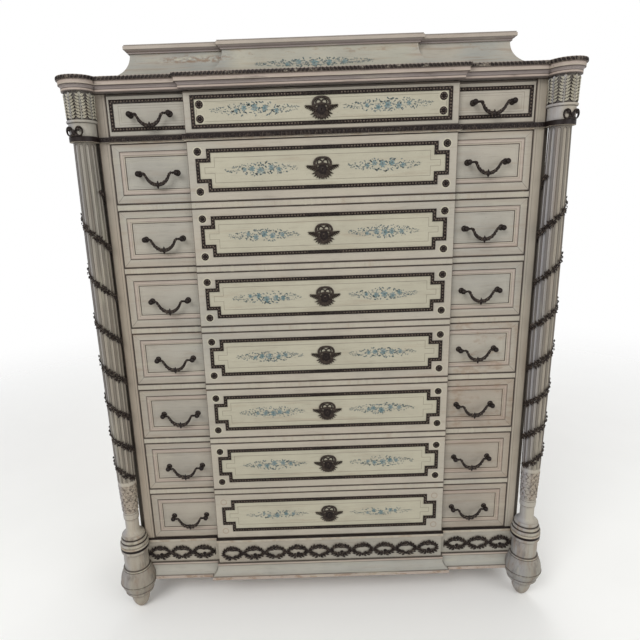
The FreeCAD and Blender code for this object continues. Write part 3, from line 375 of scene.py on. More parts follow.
def bare_timber(name, tints, along):
    """Unpainted softwood with straight grain along an axis index, stained by age, with painted
    shade in its hollows.
    """
    material, place, shader = start_material(name)
    growth = place.stretched(*(0.35 if k == along else 7.0 for k in range(3)))
    rings = (growth.noise(9, 5, 0.6) * 9) % 1.0
    lines = abs(rings - 0.5) * 2
    fibre = place.stretched(*(1.0 if k == along else 24.0 for k in range(3))).noise(30, 3)
    late = toned(tints.bare_wood, 0.52)
    base = place.blend(tints.bare_wood, late, lines * 0.55 + fibre * 0.2).under(
        (tints.undercoat, place.noise(4, 4).between(0.5, 0.75) * 0.4),
        # painted shade in the hollows of the timber
        (tints.glaze_and_shade, crevices(place, 9 * MM).between(0.2, 0.9) * 0.5))
    feed(shader, Base_Color=base, Normal=(fibre + lines * 0.3).bump(0.3, 0.4 * MM),
         Roughness=0.62 + fibre * 0.2)
    return material


def spray_paint(name, tints, tone):
    """Thin blue paint of the sprays, worn towards the field under it."""
    material, place, shader = start_material(name)
    shade = place.noise(170, 2).between(0.35, 0.65)
    base = place.blend(toned(tints.blue, tone), tints.cool, shade * 0.4).under(
        (tints.glaze_and_shade, place.noise(320, 2).between(0.56, 0.7) * 0.3),
        (tints.cream, place.noise(60, 5, 0.7).between(0.58, 0.70) * 0.7))
    feed(shader, Base_Color=base, Roughness=0.6)
    return material


# ---------------------------------------------------------------- mesh building
OUT = Vector((0, -1, 0))
UP = Vector((0, 0, 1))
RIGHT = Vector((1, 0, 0))
SQUARE = ((-1, -1), (1, -1), (1, 1), (-1, 1))


def angles(count):
    """Evenly spaced angles round a full turn."""
    return [2 * math.pi * n / count for n in range(count)]


class Shape:
    """Collects closed shapes that make up one piece."""

    def __init__(self):
        self.points = []
        self.faces = []

    def add(self, points, faces):
        start = len(self.points)
        self.points += [tuple(point) for point in points]
        self.faces += [tuple(start + k for k in face) for face in faces]

    def loft(self, rings, closed=False):
        """Skin a row of rings of equal length, capping both ends unless it closes."""
        count = len(rings[0])
        rows = len(rings)
        faces = []
        for row in range(rows if closed else rows - 1):
            after = (row + 1) % rows
            for k in range(count):
                right = (k + 1) % count
                faces.append((row * count + k, row * count + right, after * count + right,
                              after * count + k))
        if not closed:
            faces.append(tuple(reversed(range(count))))
            faces.append(tuple((rows - 1) * count + k for k in range(count)))
        self.add([point for ring in rings for point in ring], faces)

    def tube(self, path, radii, sides=8, flat=1.0):
        """A round bar through points; flat squeezes it from front to back."""
        rings = []
        for k, centre in enumerate(path):
            along = (path[min(k + 1, len(path) - 1)] - path[max(k - 1, 0)]).normalized()
            side = OUT.cross(along).normalized()
            rise = side.cross(along).normalized()
            rings.append([centre + side * (radii[k] * math.cos(a)) +
                          rise * (radii[k] * flat * math.sin(a)) for a in angles(sides)])
        self.loft(rings)

    def turned(self, profile, centre, axis, sides=24):
        """A turned shape: (radius, distance along the axis) points from one end to the other."""
        side = axis.orthogonal().normalized()
        other = axis.cross(side)
        self.loft([[centre + axis * far + side * (r * math.cos(a)) + other * (r * math.sin(a))
                    for a in angles(sides)] for r, far in profile])

    def leaf(self, base, along, out, size, wide, lift=0.0, thick=0.9 * MM, curl=0.0):
        """A ribbed leaf from its stalk end; lift bows it out and curl turns its tip."""
        side = along.cross(out).normalized()
        rings = []
        for t, share in ((0.0, 0.12), (0.12, 0.55), (0.32, 1.0), (0.55, 0.95), (0.8, 0.5),
                         (1.0, 0.04)):
            half = wide / 2 * share
            middle = (base + along * (size * t) + out * (lift * math.sin(math.pi * t)) +
                      side * (curl * size * t * t))
            rib = thick * (0.35 + 0.65 * share)
            rings.append([middle - side * half, middle - side * half * 0.5 + out * rib,
                          middle + out * rib * 0.45, middle + side * half * 0.5 + out * rib,
                          middle + side * half, middle - out * rib * 0.5])
        self.loft(rings)

    def plate(self, outline, thickness):
        """A thin flat shape: an outline and the vector through its thickness."""
        count = len(outline)
        points = list(outline) + [point + thickness for point in outline]
        faces = [tuple(range(count)), tuple(reversed(range(count, 2 * count)))]
        faces += [(k, count + k, count + (k + 1) % count, (k + 1) % count) for k in range(count)]
        self.add(points, faces)

    def dome(self, centre, out, across, wide, tall, high, sides=8):
        """A bead: an oval dome standing on a face."""
        other = out.cross(across)
        rings = []
        for share, rise in ((1.0, 0.0), (0.94, 0.45), (0.62, 0.85), (0.12, 1.0)):
            rings.append([centre + across * (wide / 2 * share * math.cos(a)) +
                          other * (tall / 2 * share * math.sin(a)) + out * (high * rise)
                          for a in angles(sides)])
        self.loft(rings)

    def doubled(self):
        """Add the mirror image, for the other side of the chest."""
        self.add([(-x, y, z) for x, y, z in self.points],
                 [tuple(reversed(face)) for face in self.faces])

    def mesh(self, name, sharp=40):
        """A smooth mesh whose edges stay sharp above an angle in degrees."""
        mesh = bpy.data.meshes.new(name)
        mesh.from_pydata(self.points, [], self.faces)
        work = bmesh.new()
        work.from_mesh(mesh)
        bmesh.ops.recalc_face_normals(work, faces=work.faces)
        work.to_mesh(mesh)
        work.free()
        mesh.shade_smooth()
        mesh.set_sharp_from_angle(angle=math.radians(sharp))
        return mesh


def place_piece(name, mesh, material, body, replaces=(), spot=None):
    """Put a piece in the scene, riding on its body."""
    piece = bpy.data.objects.new(name, mesh)
    bpy.context.scene.collection.objects.link(piece)
    if spot is not None:
        piece.location = spot
    mesh.materials.clear()
    mesh.materials.append(material)
    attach(piece, body)
    if replaces:
        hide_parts(*replaces)


def carcass_piece(name, shape, material, replaces=(), sharp=40):
    """Put a piece of the carcass in the scene."""
    place_piece(name, shape.mesh(name, sharp), material, "carcass", replaces)


def finish_node(node, material):
    """Give a carried-over solid its finish."""
    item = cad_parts[node]
    item.data.materials.clear()
    item.data.materials.append(material)


def drawer_span(row):
    """Levels of the lower and upper edge of a drawer's front."""
    low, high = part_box(f"drawer_{row}_front")
    return low.z, high.z


# ---------------------------------------------------------------- case
PALE = 1.3                              # how much lighter than cream the rubbed pale places and painted highlights are


def marks_cornice(place, tints):
    """Pink fascia and band, lilac hollow and underside, dark leafy edge, painted shadow under the
    cornice.
    """
    band_top = TOP_LOW + 6 * MM
    fascia_low = TOP_LOW + 13.5 * MM
    fascia_top = TOP_LOW + 23.5 * MM
    z = place.axis(2)
    lines = z.line(band_top, 1.0 * MM).most(z.line(fascia_low, 0.9 * MM))
    return [
        (tints.pink, z.inside(fascia_low, fascia_top).most(z.inside(TOP_LOW + MM, band_top))),
        (tints.lilac, z.inside(band_top, fascia_low)),
        (tints.lilac, 1 - z.between(TOP_LOW, TOP_LOW + MM)),
        # painted shadow: the underside of the cornice and its lowest edge darkened
        (tints.glaze_and_shade, (1 - z.between(TOP_LOW - 2 * MM, TOP_LOW + 0.5 * MM)) * 0.6),
        (tints.cream, z.line(fascia_low + 2.2 * MM, 1.2 * MM) * 0.35),
        (tints.glaze_and_shade, place.stretched(0.15, 1, 1).noise(120, 4, 0.6).between(0.55, 0.7) * 0.4),
        (tints.glaze_and_shade, z.inside(fascia_top, TOP_TOP - MM) * 0.85),
        (tints.glaze_and_shade, lines.most(z.line(TOP_LOW + 0.8 * MM, 0.8 * MM)) * 0.8),
    ]


def marks_crown(place, tints):
    """Cool grey towards the ends and foot, warm wear along the top of the middle."""
    z = place.axis(2)
    x = abs(place.axis(0))
    patches = place.noise(6, 4).between(0.45, 0.6)
    rub = place.stretched(1, 1, 2.5).noise(26, 5, 0.7).between(0.56, 0.66)
    high = z.between(TOP_TOP + 20 * MM, TOP_TOP + 48 * MM)
    swept = place.stretched(0.07, 1, 1).noise(90, 4, 0.6)
    worn = z.line(TOP_TOP + 37 * MM, 8 * MM) * place.axis(0).inside(
        -370 * MM, -215 * MM, 40 * MM)
    flakes = place.stretched(0.5, 1, 1).noise(150, 4, 0.7)
    return [
        (tints.cool, patches * 0.55 + (1 - high) * 0.2),
        (tints.cool, swept.between(0.45, 0.62) * 0.5),
        (tints.undercoat, (1 - swept.between(0.34, 0.44)) * 0.35),
        (tints.cream, (1 - x.between(190 * MM, 230 * MM)) * 0.45),
        (tints.undercoat, rub * high * 0.55),
        (tints.undercoat, worn * flakes.between(0.50, 0.56) * 0.8),
        (toned(tints.cream, PALE), worn * (1 - flakes.between(0.40, 0.45)) * 0.7),
        (tints.glaze_and_shade, (1 - place.axis(0).between(-240 * MM, -180 * MM)) * 0.14),
        (tints.glaze_and_shade, z.line(TOP_TOP + 3 * MM, 1.3 * MM) * 0.6),
    ]


def marks_cap(place, tints):
    """Lilac-grey cap mouldings with a paler edge."""
    z = place.axis(2)
    return [
        (tints.lilac, 1 - z.between(CROWN_TOP + 6 * MM, CROWN_TOP + 9 * MM)),
        (tints.pink, z.inside(CROWN_TOP + 8.5 * MM, CROWN_TOP + 15 * MM) * 0.5),
        (tints.lilac, z.between(CROWN_TOP + 14 * MM, CROWN_TOP + 16 * MM) * 0.6),
    ]


def marks_plinth(place, tints):
    """Dark lines and a pinkish fillet over a greenish cove, rubbed base edge."""
    z = place.axis(2)
    fillet = PLINTH_LOW + 40 * MM
    cove = z.inside(PLINTH_LOW + 11 * MM, PLINTH_LOW + 37 * MM, MM)
    base = 1 - z.between(PLINTH_LOW + 8 * MM, PLINTH_LOW + 10 * MM)
    rub = place.stretched(1, 1, 1.5).noise(40, 4, 0.7).between(0.5, 0.62)
    return [
        (tints.glaze_and_shade, z.between(fillet, fillet + 6 * MM) * 0.12),
        (tints.cool, cove * 0.5),
        (tints.pink, z.inside(fillet - 3 * MM, fillet + 3 * MM) * 0.8),
        (tints.pink, base * 0.9),
        (tints.undercoat, base * rub * 0.7),
        (tints.glaze_and_shade, z.line(PLINTH_LOW + 10 * MM, 1.2 * MM) * 0.75),
        (tints.glaze_and_shade, z.line(fillet - 3.5 * MM, 1.0 * MM) * 0.7),
        (tints.glaze_and_shade, z.line(fillet + 3.4 * MM, 1.0 * MM) * 0.7),
    ]


def marks_stiles(place, tints):
    """Painted shade: a dark line down the inner edge of each stile and along the edges of the
    rails, in the drawer gaps; also under the cornice and on the outer edge beside the columns.
    """
    x = abs(place.axis(0))
    rail = (place.axis(2) - CELL_LOW) % CELL - DRAWER_HIGH
    edges = rail.line(1.6 * MM, 1.5 * MM).most(rail.line(RAIL_HIGH - 1.6 * MM, 1.5 * MM))
    inner = 1 - x.between(DRAWER_HALF, DRAWER_HALF + MM)
    head = place.axis(2).between(FRIEZE_TOP - MM, FRIEZE_TOP + MM)
    edge = x.between(STILE_EDGE - 2.6 * MM, STILE_EDGE - 0.8 * MM)
    left = 1 - place.axis(0).between(-MM, MM)
    return [
        (tints.undercoat, (1 - inner) * (0.12 + left * 0.2)),
        # painted shadow of the cornice above the frieze drawer, and painted shade on the outer edge
        # beside the columns
        (tints.glaze_and_shade, head.most(edge) * 0.85),
        # painted shade in the gap beside each drawer
        (tints.glaze_and_shade, x.line(DRAWER_HALF + 2.2 * MM, 1.4 * MM) * 0.85),
        (tints.glaze_and_shade, x.line(DRAWER_HALF + 9 * MM, 0.7 * MM) * 0.4),
        (tints.cream, rail.line(8 * MM, 3 * MM) * inner * 0.35),
        # painted shade along the rail edges, in the gaps above and below the drawers
        (tints.glaze_and_shade, edges * inner * 0.85),
        (tints.glaze_and_shade, x.line(BREAK_HALF, 1.0 * MM) * inner * 0.7),
    ]


def arc_points(start, through, end, steps):
    """Points along the circle from start through a middle point to end, without the start."""
    (ax, ay), (bx, by), (cx, cy) = start, through, end
    turn = 2 * (ax * (by - cy) + bx * (cy - ay) + cx * (ay - by))
    a2, b2, c2 = ax * ax + ay * ay, bx * bx + by * by, cx * cx + cy * cy
    mx = (a2 * (by - cy) + b2 * (cy - ay) + c2 * (ay - by)) / turn
    my = (a2 * (cx - bx) + b2 * (ax - cx) + c2 * (bx - ax)) / turn
    radius = math.hypot(ax - mx, ay - my)
    first = math.atan2(ay - my, ax - mx)
    sweep = (math.atan2(cy - my, cx - mx) - first + math.pi) % (2 * math.pi) - math.pi
    return [(mx + radius * math.cos(first + sweep * k / steps),
             my + radius * math.sin(first + sweep * k / steps)) for k in range(1, steps + 1)]


def ring_bead(radius, low, high, bulge):
    """Half-round ring of a turning; low and high are its levels."""
    start, end = (radius - bulge, low), (radius - bulge, high)
    return [start] + arc_points(start, (radius, (low + high) / 2), end, 8)


def foot_turning():
    """(radius, height) points of a front foot in millimetres, from the floor to its top ring."""
    points = [(7.5, 0.0), (9.2, 0.8)]
    points += arc_points(points[-1], (21.5, 17.5), (26.0, 43.0), 12)
    points += [(26.0, 44.0), (29.0, 44.4)]
    points += ring_bead(33.0, 45.0, 53.0, 3.0) + [(34.5, 53.8)]
    points += ring_bead(41.0, 54.6, 64.6, 3.4) + [(39.4, 65.4), (41.4, 66.0)]
    points += arc_points(points[-1], (46.9, 77.0), (49.3, 87.6), 8)
    points += [(49.4, 88.0), (51.2, 88.2), (51.5, 89.0), (51.5, 90.4), (51.0, 91.2), (50.4, 91.6)]
    points += arc_points(points[-1], (47.0, 113.5), (38.6, 134.6), 12)
    points += [(38.2, 135.6), (38.8, 136.2), (39.0, 137.8), (38.4, 139.4), (36.6, 140.0),
               (34.6, 140.6), (34.5, 160.0), (34.4, 175.0), (34.8, 187.6), (36.0, 189.6)]
    points += ring_bead(39.4, 190.0, 200.8, 2.4) + [(37.0, 201.0), (37.0, 213.5)]
    for k in range(3):
        points += ring_bead(39.5 - 3.5 * k, 213.7 + 11.5 * k, 224.6 + 11.5 * k, 2.5)
    return points


def foot_shape(points, x, y):
    """A turned foot about an upright axis; points in millimetres, lowest first."""
    shape = Shape()
    shape.turned([(r * MM, z * MM) for r, z in points], Vector((x, y, 0)), UP, sides=96)
    return shape


def from_column(place):
    """Distance from the axis of whichever column this is."""
    return (abs(place.axis(0)) - COLUMN_X).far(place.axis(1) - COLUMN_Y)


def left_flank(place):
    """1 on the left flank of whichever column this is, where the painted cool light goes."""
    x = place.axis(0)
    return (place.maths("SIGN", x) * COLUMN_X - x).between(1 * MM, 24 * MM)


# levels of the quirks between the rings, in millimetres, where painted shade and antique glazing
# are laid
FOOT_QUIRKS = (44, 54, 65.5, 87.6, 91.6, 134.6, 140.3, 189, 200.9, 213.6, 225.1, 236.6)


def marks_feet(place, tints):
    """Antiqued rings: dark lines in the quirks as antique glazing and painted shade, pale shoulders
    as rubbed wear and painted highlight, painted cool light on the left flank.
    """
    z = place.axis(2)
    lines = functools.reduce(Shade.most, (
        z.line(level * MM, (1.4 if level == FOOT_QUIRKS[0] else 1.3) * MM)
        for level in FOOT_QUIRKS))
    streak = place.stretched(1, 1, 0.12).noise(60, 4, 0.6).between(0.45, 0.7)
    return [
        # painted highlight with rubbed wear on the ring shoulders
        (tints.cream, z.line(89.5 * MM, 1.6 * MM) * 0.7),
        (tints.cream, z.line(137.6 * MM, 2.0 * MM) * 0.7),
        (tints.cream, z.line(219 * MM, 3.5 * MM).most(z.line(230.6 * MM, 3.5 * MM)) * 0.5),
        # painted cool light on the left flank
        (tints.painted_cool_light, left_flank(place) * 0.35),
        (tints.undercoat, streak * 0.45),
        (tints.glaze_and_shade, z.inside(44 * MM, 134 * MM) * 0.2),
        (tints.glaze_and_shade, place.stretched(1, 1, 0.3).noise(48, 5, 0.65).between(0.50, 0.68) * 0.38),
        # dark lines in the quirks: antique glazing and painted shade
        (tints.glaze_and_shade, lines * 0.75),
        (tints.undercoat, (1 - z.between(0.0, 40 * MM)) * 0.35),
    ]


def marks_side(place, tints):
    """Painted line inside the sunk field of a side, and painted shade on its front end beside the
    column.
    """
    low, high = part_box("side_left")
    border = 84 * MM
    y = place.axis(1)
    z = place.axis(2)
    inset_y = (y - (low.y + border)).least((high.y - border) - y)
    inset_z = (z - (low.z + border)).least((high.z - border) - z)
    inset = inset_y.least(inset_z)
    field = inset.between(-8 * MM, -7 * MM)
    return [
        # painted shade on the front end of the side, beside the column
        (tints.glaze_and_shade, (1 - y.between(low.y + 8 * MM, low.y + 50 * MM)) * 0.65),
        (tints.cream, field * 0.35),
        (tints.pink, inset.inside(-21.5 * MM, -8.2 * MM) * 0.75),
        (tints.glaze_and_shade, inset.line(-22 * MM, 1.1 * MM) * 0.6),
        (tints.glaze_and_shade, inset.line(-8 * MM, 1.1 * MM) * 0.6),
        (tints.glaze_and_shade, inset.line(6 * MM, 0.6 * MM) * 0.35),
    ]


class CHEST_OT_case(bpy.types.Operator):
    """Finish the case: old paint outside, bare timber inside and behind"""

    bl_idname = "chest.case"
    bl_label = "Case finish"

    def execute(self, context):
        tints = context.scene.chest_colours
        along_x = (0.10, 1, 1)
        along_z = (1, 1, 0.08)
        painted = {
            "side_left": (tints.ground, along_z, marks_side),
            "side_right": (tints.ground, along_z, marks_side),
            "stiles_and_rails": (tints.ground, along_z, marks_stiles),
            "cornice": (tints.pink, along_x, marks_cornice),
            "top_board": (tints.ground, along_x, None),
            "crown_cove": (tints.ground, along_x, marks_crown),
            "crown_cap": (tints.ground, along_x, marks_cap),
            "plinth": (tints.ground, along_x, marks_plinth),
        }
        for node, (ground, grain, marks) in painted.items():
            finish_node(node, old_paint(f"paint_{node}", ground, tints, grain, marks))
        timber = {"back_panel": 2, "bottom_board": 0, "dust_boards": 0, "drawer_guides": 1}
        for node, along in timber.items():
            finish_node(node, bare_timber(f"timber_{node}", tints, along))
        return {"FINISHED"}


# ---------------------------------------------------------------- drawer fronts and boxes
NOTCH_WIDE = 27 * MM
HALO_R = 10.4 * MM                      # pale ring left on the paint round a rosette
GHOST_R = 8 * MM                        # brown ring where the lowest drawer lost its rosettes


def rosette_places(row):
    """How far from the middle, and at which two levels, a drawer's corner rosettes are."""
    low, high = drawer_span(row)
    if row == 1:
        return BREAK_HALF - 37 * MM, low + 31 * MM, high - 31 * MM
    return BREAK_HALF - 25 * MM, low + 23 * MM, high - 24 * MM


def rings_on_paint(place, row, radius, half):
    """Rings on the paint round the places of the corner rosettes."""
    aside, low, high = rosette_places(row)
    dx = abs(place.axis(0)) - aside
    dz = abs(place.axis(2) - (low + high) / 2) - (high - low) / 2
    return dx.far(dz).line(radius, half)


def frieze_layers(tints, x, up, down, side):
    """Frieze drawer: a cream field in the middle and a double line on both panels."""
    near = up.least(down)
    field = x.inside(-MM, BREAK_HALF - 22 * MM) * near.between(15 * MM, 16 * MM)
    painted = (near - 25 * MM).least((BREAK_HALF - 30 * MM) - x).line(0.0, 0.7 * MM)
    panel = (near - 26 * MM).least((DRAWER_HALF - 27 * MM) - x)
    double = panel.line(0.0, 0.6 * MM).most(panel.line(5.5 * MM, 0.5 * MM) * 0.6)
    return [
        (tints.cream, field * 0.9),
        (tints.glaze_and_shade, painted * (1 - side) * 0.45),
        (tints.glaze_and_shade, double * side * 0.45),
    ]


def panel_layers(tints, x, y, up, down, side):
    """Lower drawers: a notched cream field and a mitred pink moulding on both panels."""
    centre = 1 - side
    frame_half = BREAK_HALF - 20 * MM
    inner = (down - 22 * MM).least(up - 26 * MM).least((frame_half - 3 * MM) - x)
    corner = ((frame_half - NOTCH_WIDE) - x).most((down - 44 * MM).least(up - 48 * MM))
    field = inner.least(corner)
    proud = (PANEL_FACE - y).between(0.3 * MM, 0.7 * MM) * side
    outer = ((DRAWER_HALF - 18.5 * MM) - x).least(down - 17.4 * MM).least(up - 21 * MM)
    edges = outer.line(0.0, 1.2 * MM).most(outer.line(12.6 * MM, 1.1 * MM))
    ridge = outer.line(3.0 * MM, 0.5 * MM).most(outer.line(8.4 * MM, 0.5 * MM)) * 0.6
    fine = outer.line(17 * MM, 0.5 * MM).most(outer.line(20.5 * MM, 0.4 * MM) * 0.6)
    near_end = x.between(DRAWER_HALF - 20 * MM, DRAWER_HALF - 19 * MM)
    margin = (1 - outer.between(-0.5 * MM, 0.5 * MM)) * near_end
    mitre_low = ((DRAWER_HALF - x) - up * 0.88).line(0.0, 0.9 * MM) * margin
    mitre_top = ((DRAWER_HALF - x) - down * 1.06).line(0.0, 0.8 * MM) * margin
    return [
        (tints.cream, field.between(-0.5 * MM, 0.5 * MM) * centre * 0.9),
        (tints.glaze_and_shade, field.line(17 * MM, 0.7 * MM) * centre * 0.5),
        (tints.pink, proud * 0.75),
        # painted highlight along the inner part of the moulding
        (tints.cream, outer.line(10.6 * MM, 1.2 * MM) * side * 0.5),
        (tints.cool, side * (1 - proud) * 0.2),
        (tints.undercoat, side * (1 - outer.between(-14 * MM, 0.0)) * 0.2),
        # dark lines at the edges of the moulding: antique glazing and painted shade
        (tints.glaze_and_shade, edges * side * 0.86),
        (tints.glaze_and_shade, ridge * side * 0.6),
        (tints.glaze_and_shade, fine * side * 0.3),
        (tints.glaze_and_shade, mitre_low.most(mitre_top * 0.6) * side * 0.5),
    ]


def marks_front(row, place, tints):
    """Painted field and panels of a drawer's front, painted shade along its edges and traces of
    age.
    """
    low, high = drawer_span(row)
    x = abs(place.axis(0))
    up = place.axis(2) - low
    down = high - place.axis(2)
    side = x.between(BREAK_HALF - 0.5 * MM, BREAK_HALF)
    # painted shade in the gaps round the front; on the frieze drawer a deeper band along the top is
    # the painted shadow of the cornice
    lid = 3.4 * MM if row == 1 else 1.0 * MM
    rim = (1 - up.between(1.4 * MM, 2.8 * MM)).most(1 - down.between(lid, lid + 1.1 * MM)).most(
        x.between(DRAWER_HALF - 2.0 * MM, DRAWER_HALF - 0.9 * MM))
    if row == 1:
        layers = frieze_layers(tints, x, up, down, side)
    else:
        layers = panel_layers(tints, x, place.axis(1), up, down, side)
    layers += [(tints.glaze_and_shade, x.line(BREAK_HALF, 1.2 * MM) * 0.85), (tints.glaze_and_shade, rim * 0.9)]
    if row < 8:
        halo = rings_on_paint(place, row, HALO_R, 1.6 * MM)
        layers.append((toned(tints.cream, PALE), halo * 0.7))
    if row > 5:
        warm = 0.1 + place.axis(0).between(BREAK_HALF, BREAK_HALF + MM) * 0.12
        layers.append((tints.undercoat, side * (1 - rim) * warm))
    if row in (5, 6):
        soil = place.stretched(1, 1, 1.6).noise(22, 5, 0.65).between(0.5, 0.68)
        right = place.axis(0).between(BREAK_HALF, BREAK_HALF + 30 * MM)
        layers.append((tints.undercoat, soil * right * 0.5))
    if row == 8:
        layers.append((tints.undercoat, rings_on_paint(place, row, GHOST_R, 1.2 * MM) * 0.55))
    return layers


class CHEST_OT_feet(bpy.types.Operator):
    """Turn the four feet: rounded toe, rings, bulb and drum"""

    bl_idname = "chest.feet"
    bl_label = "Turned feet"

    def execute(self, context):
        tints = context.scene.chest_colours
        paint = old_paint("paint_feet", toned(tints.ground, 0.84), tints, (1, 1, 0.12),
                          marks_feet, hollow=6 * MM)
        points = foot_turning()
        front = foot_shape(points, -COLUMN_X, COLUMN_Y)
        front.doubled()
        carcass_piece("front_feet_turned", front, paint, ["front_feet"], 30)
        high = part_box("rear_feet")[1]
        top = high.z / MM
        below = [point for point in points if point[1] < top - 0.2]
        rear = foot_shape(below + [(below[-1][0], top)], high.x - BULB_R, high.y - BULB_R)
        rear.doubled()
        carcass_piece("rear_feet_turned", rear, paint, ["rear_feet"], 30)
        return {"FINISHED"}


class CHEST_OT_drawers(bpy.types.Operator):
    """Finish the drawers: painted fronts and bare timber boxes"""

    bl_idname = "chest.drawers"
    bl_label = "Drawer finish"

    def execute(self, context):
        tints = context.scene.chest_colours
        box = bare_timber("timber_boxes", tints, 0)
        for row in ROWS:
            finish_node(f"drawer_{row}_front", old_paint(
                f"paint_drawer_{row}", tints.ground, tints, (0.10, 1, 1),
                functools.partial(marks_front, row), hollow=5 * MM))
            finish_node(f"drawer_{row}_box", box)
        return {"FINISHED"}


# ---------------------------------------------------------------- columns
def blend_levels(stops, z):
    """Radius from (height, radius) stops, straight between them."""
    for (z0, r0), (z1, r1) in zip(stops, stops[1:]):
        if z <= z1:
            share = min(max((z - z0) / (z1 - z0), 0.0), 1.0)
            return r0 + (r1 - r0) * share
    return stops[-1][1]


COLUMN_END_R = 30 * MM
NECK_R = 18.8 * MM
NECK_COVE = 17 * MM
NECK_HIGH = 45 * MM
SLEEVE_LOW = SHAFT_FOOT + 69 * MM
FLUTED_FROM = SHAFT_FOOT + 165 * MM
FLUTED_TO = SHAFT_HEAD - 8 * MM
SLEEVE_TOP = FLUTED_FROM - 8 * MM
SLEEVE_LOW_R = 21.5 * MM
SHAFT_LOW_R = 24.3 * MM
SHAFT_TOP_R = 25.1 * MM
SHAFT_SWELL = 3.2 * MM


def shaft_radius(z):
    """Radius of the shaft without its flutes, for a number or a socket."""
    share = (z - SLEEVE_TOP) * (1 / (SHAFT_HEAD - SLEEVE_TOP))
    return SHAFT_LOW_R + (SHAFT_TOP_R - SHAFT_LOW_R) * share + 4 * SHAFT_SWELL * share * (1 - share)


def sleeve_radius(z):
    """Radius of the sleeve over its leaves."""
    share = (z - SLEEVE_LOW) / (SLEEVE_TOP - SLEEVE_LOW)
    return SLEEVE_LOW_R + (SHAFT_LOW_R - SLEEVE_LOW_R) * share


def about_column(turn, radius, z):
    """A place round the left column's axis, and the direction out from the axis there."""
    out = Vector((math.sin(turn), -math.cos(turn), 0))
    return Vector((-COLUMN_X, COLUMN_Y, z)) + out * radius, out


def column_skin(radius, levels, sides):
    """A closed skin about the left column's axis; its radius follows height and angle."""
    shape = Shape()
    shape.loft([[about_column(a, radius(z, a), z)[0] for a in angles(sides)] for z in levels])
    return shape


def column_radius(z, angle, sizes):
    """Neck, bead, leafy sleeve and fluted shaft of a column."""
    if z < SLEEVE_LOW:
        up = z - SHAFT_FOOT
        if up < NECK_COVE:
            share = 1 - up / NECK_COVE
            return NECK_R + (COLUMN_END_R - NECK_R) * (1 - math.sqrt(1 - share * share))
        if up < NECK_HIGH:
            return NECK_R
        middle = abs(2 * (up - NECK_HIGH) / (SLEEVE_LOW - SHAFT_FOOT - NECK_HIGH) - 1)
        quirk = 1.2 * MM if 0.60 < middle < 0.70 else 0.0
        return NECK_R + 0.7 * MM + 2.0 * MM * math.sqrt(1 - middle ** 2.4) - quirk
    if z < SLEEVE_TOP:
        return sleeve_radius(z) - 1.3 * MM
    plain = shaft_radius(z)
    step = 2 * math.pi / sizes.flutes
    aside = plain * abs(math.sin(((angle / step + 0.5) % 1.0 - 0.5) * step))
    beyond = max(0.0, z - (FLUTED_TO - 1 * MM), FLUTED_FROM + 5 * MM - z)
    square = sizes.flute_radius ** 2 - aside ** 2 - beyond ** 2
    deep = math.sqrt(square) - (sizes.flute_radius - sizes.flute_depth) if square > 0 else 0.0
    return plain - max(deep, 0.0)


def marks_shafts(place, tints):
    """Pink wear in the flutes with antique glazing and painted shade, dark rims between them as
    glazing and painted shade, painted highlight on the fillets, painted cool light on the left
    flank, a stained sleeve.
    """
    z = place.axis(2)
    sleeve = z.inside(SLEEVE_LOW, SLEEVE_TOP, MM)
    fluted = z.between(FLUTED_FROM, FLUTED_FROM + 6 * MM)
    sunk = shaft_radius(z) - from_column(place)
    rim = sunk.line(0.6 * MM, 0.75 * MM) * fluted
    floor = sunk.between(1.6 * MM, 2.8 * MM) * fluted
    rub = place.stretched(1, 1, 0.1).noise(70, 4, 0.6).between(0.5, 0.7)
    return [
        (tints.undercoat, sleeve * 0.3),
        (tints.glaze_and_shade, sleeve * place.noise(110, 4, 0.6).between(0.46, 0.62) * 0.5),
        (tints.pink, floor * rub * 0.5),
        # painted shade with antique glazing on the floors of the flutes
        (tints.glaze_and_shade, floor * 0.22),
        # painted highlight on the fillets between the flutes
        (tints.cream, (1 - sunk.between(0.2 * MM, 0.6 * MM)) * fluted * 0.3),
        # painted cool light on the left flank
        (tints.painted_cool_light, left_flank(place) * 0.5),
        # dark rims at the flute edges: antique glazing and painted shade
        (tints.glaze_and_shade, rim * 0.9),
    ]


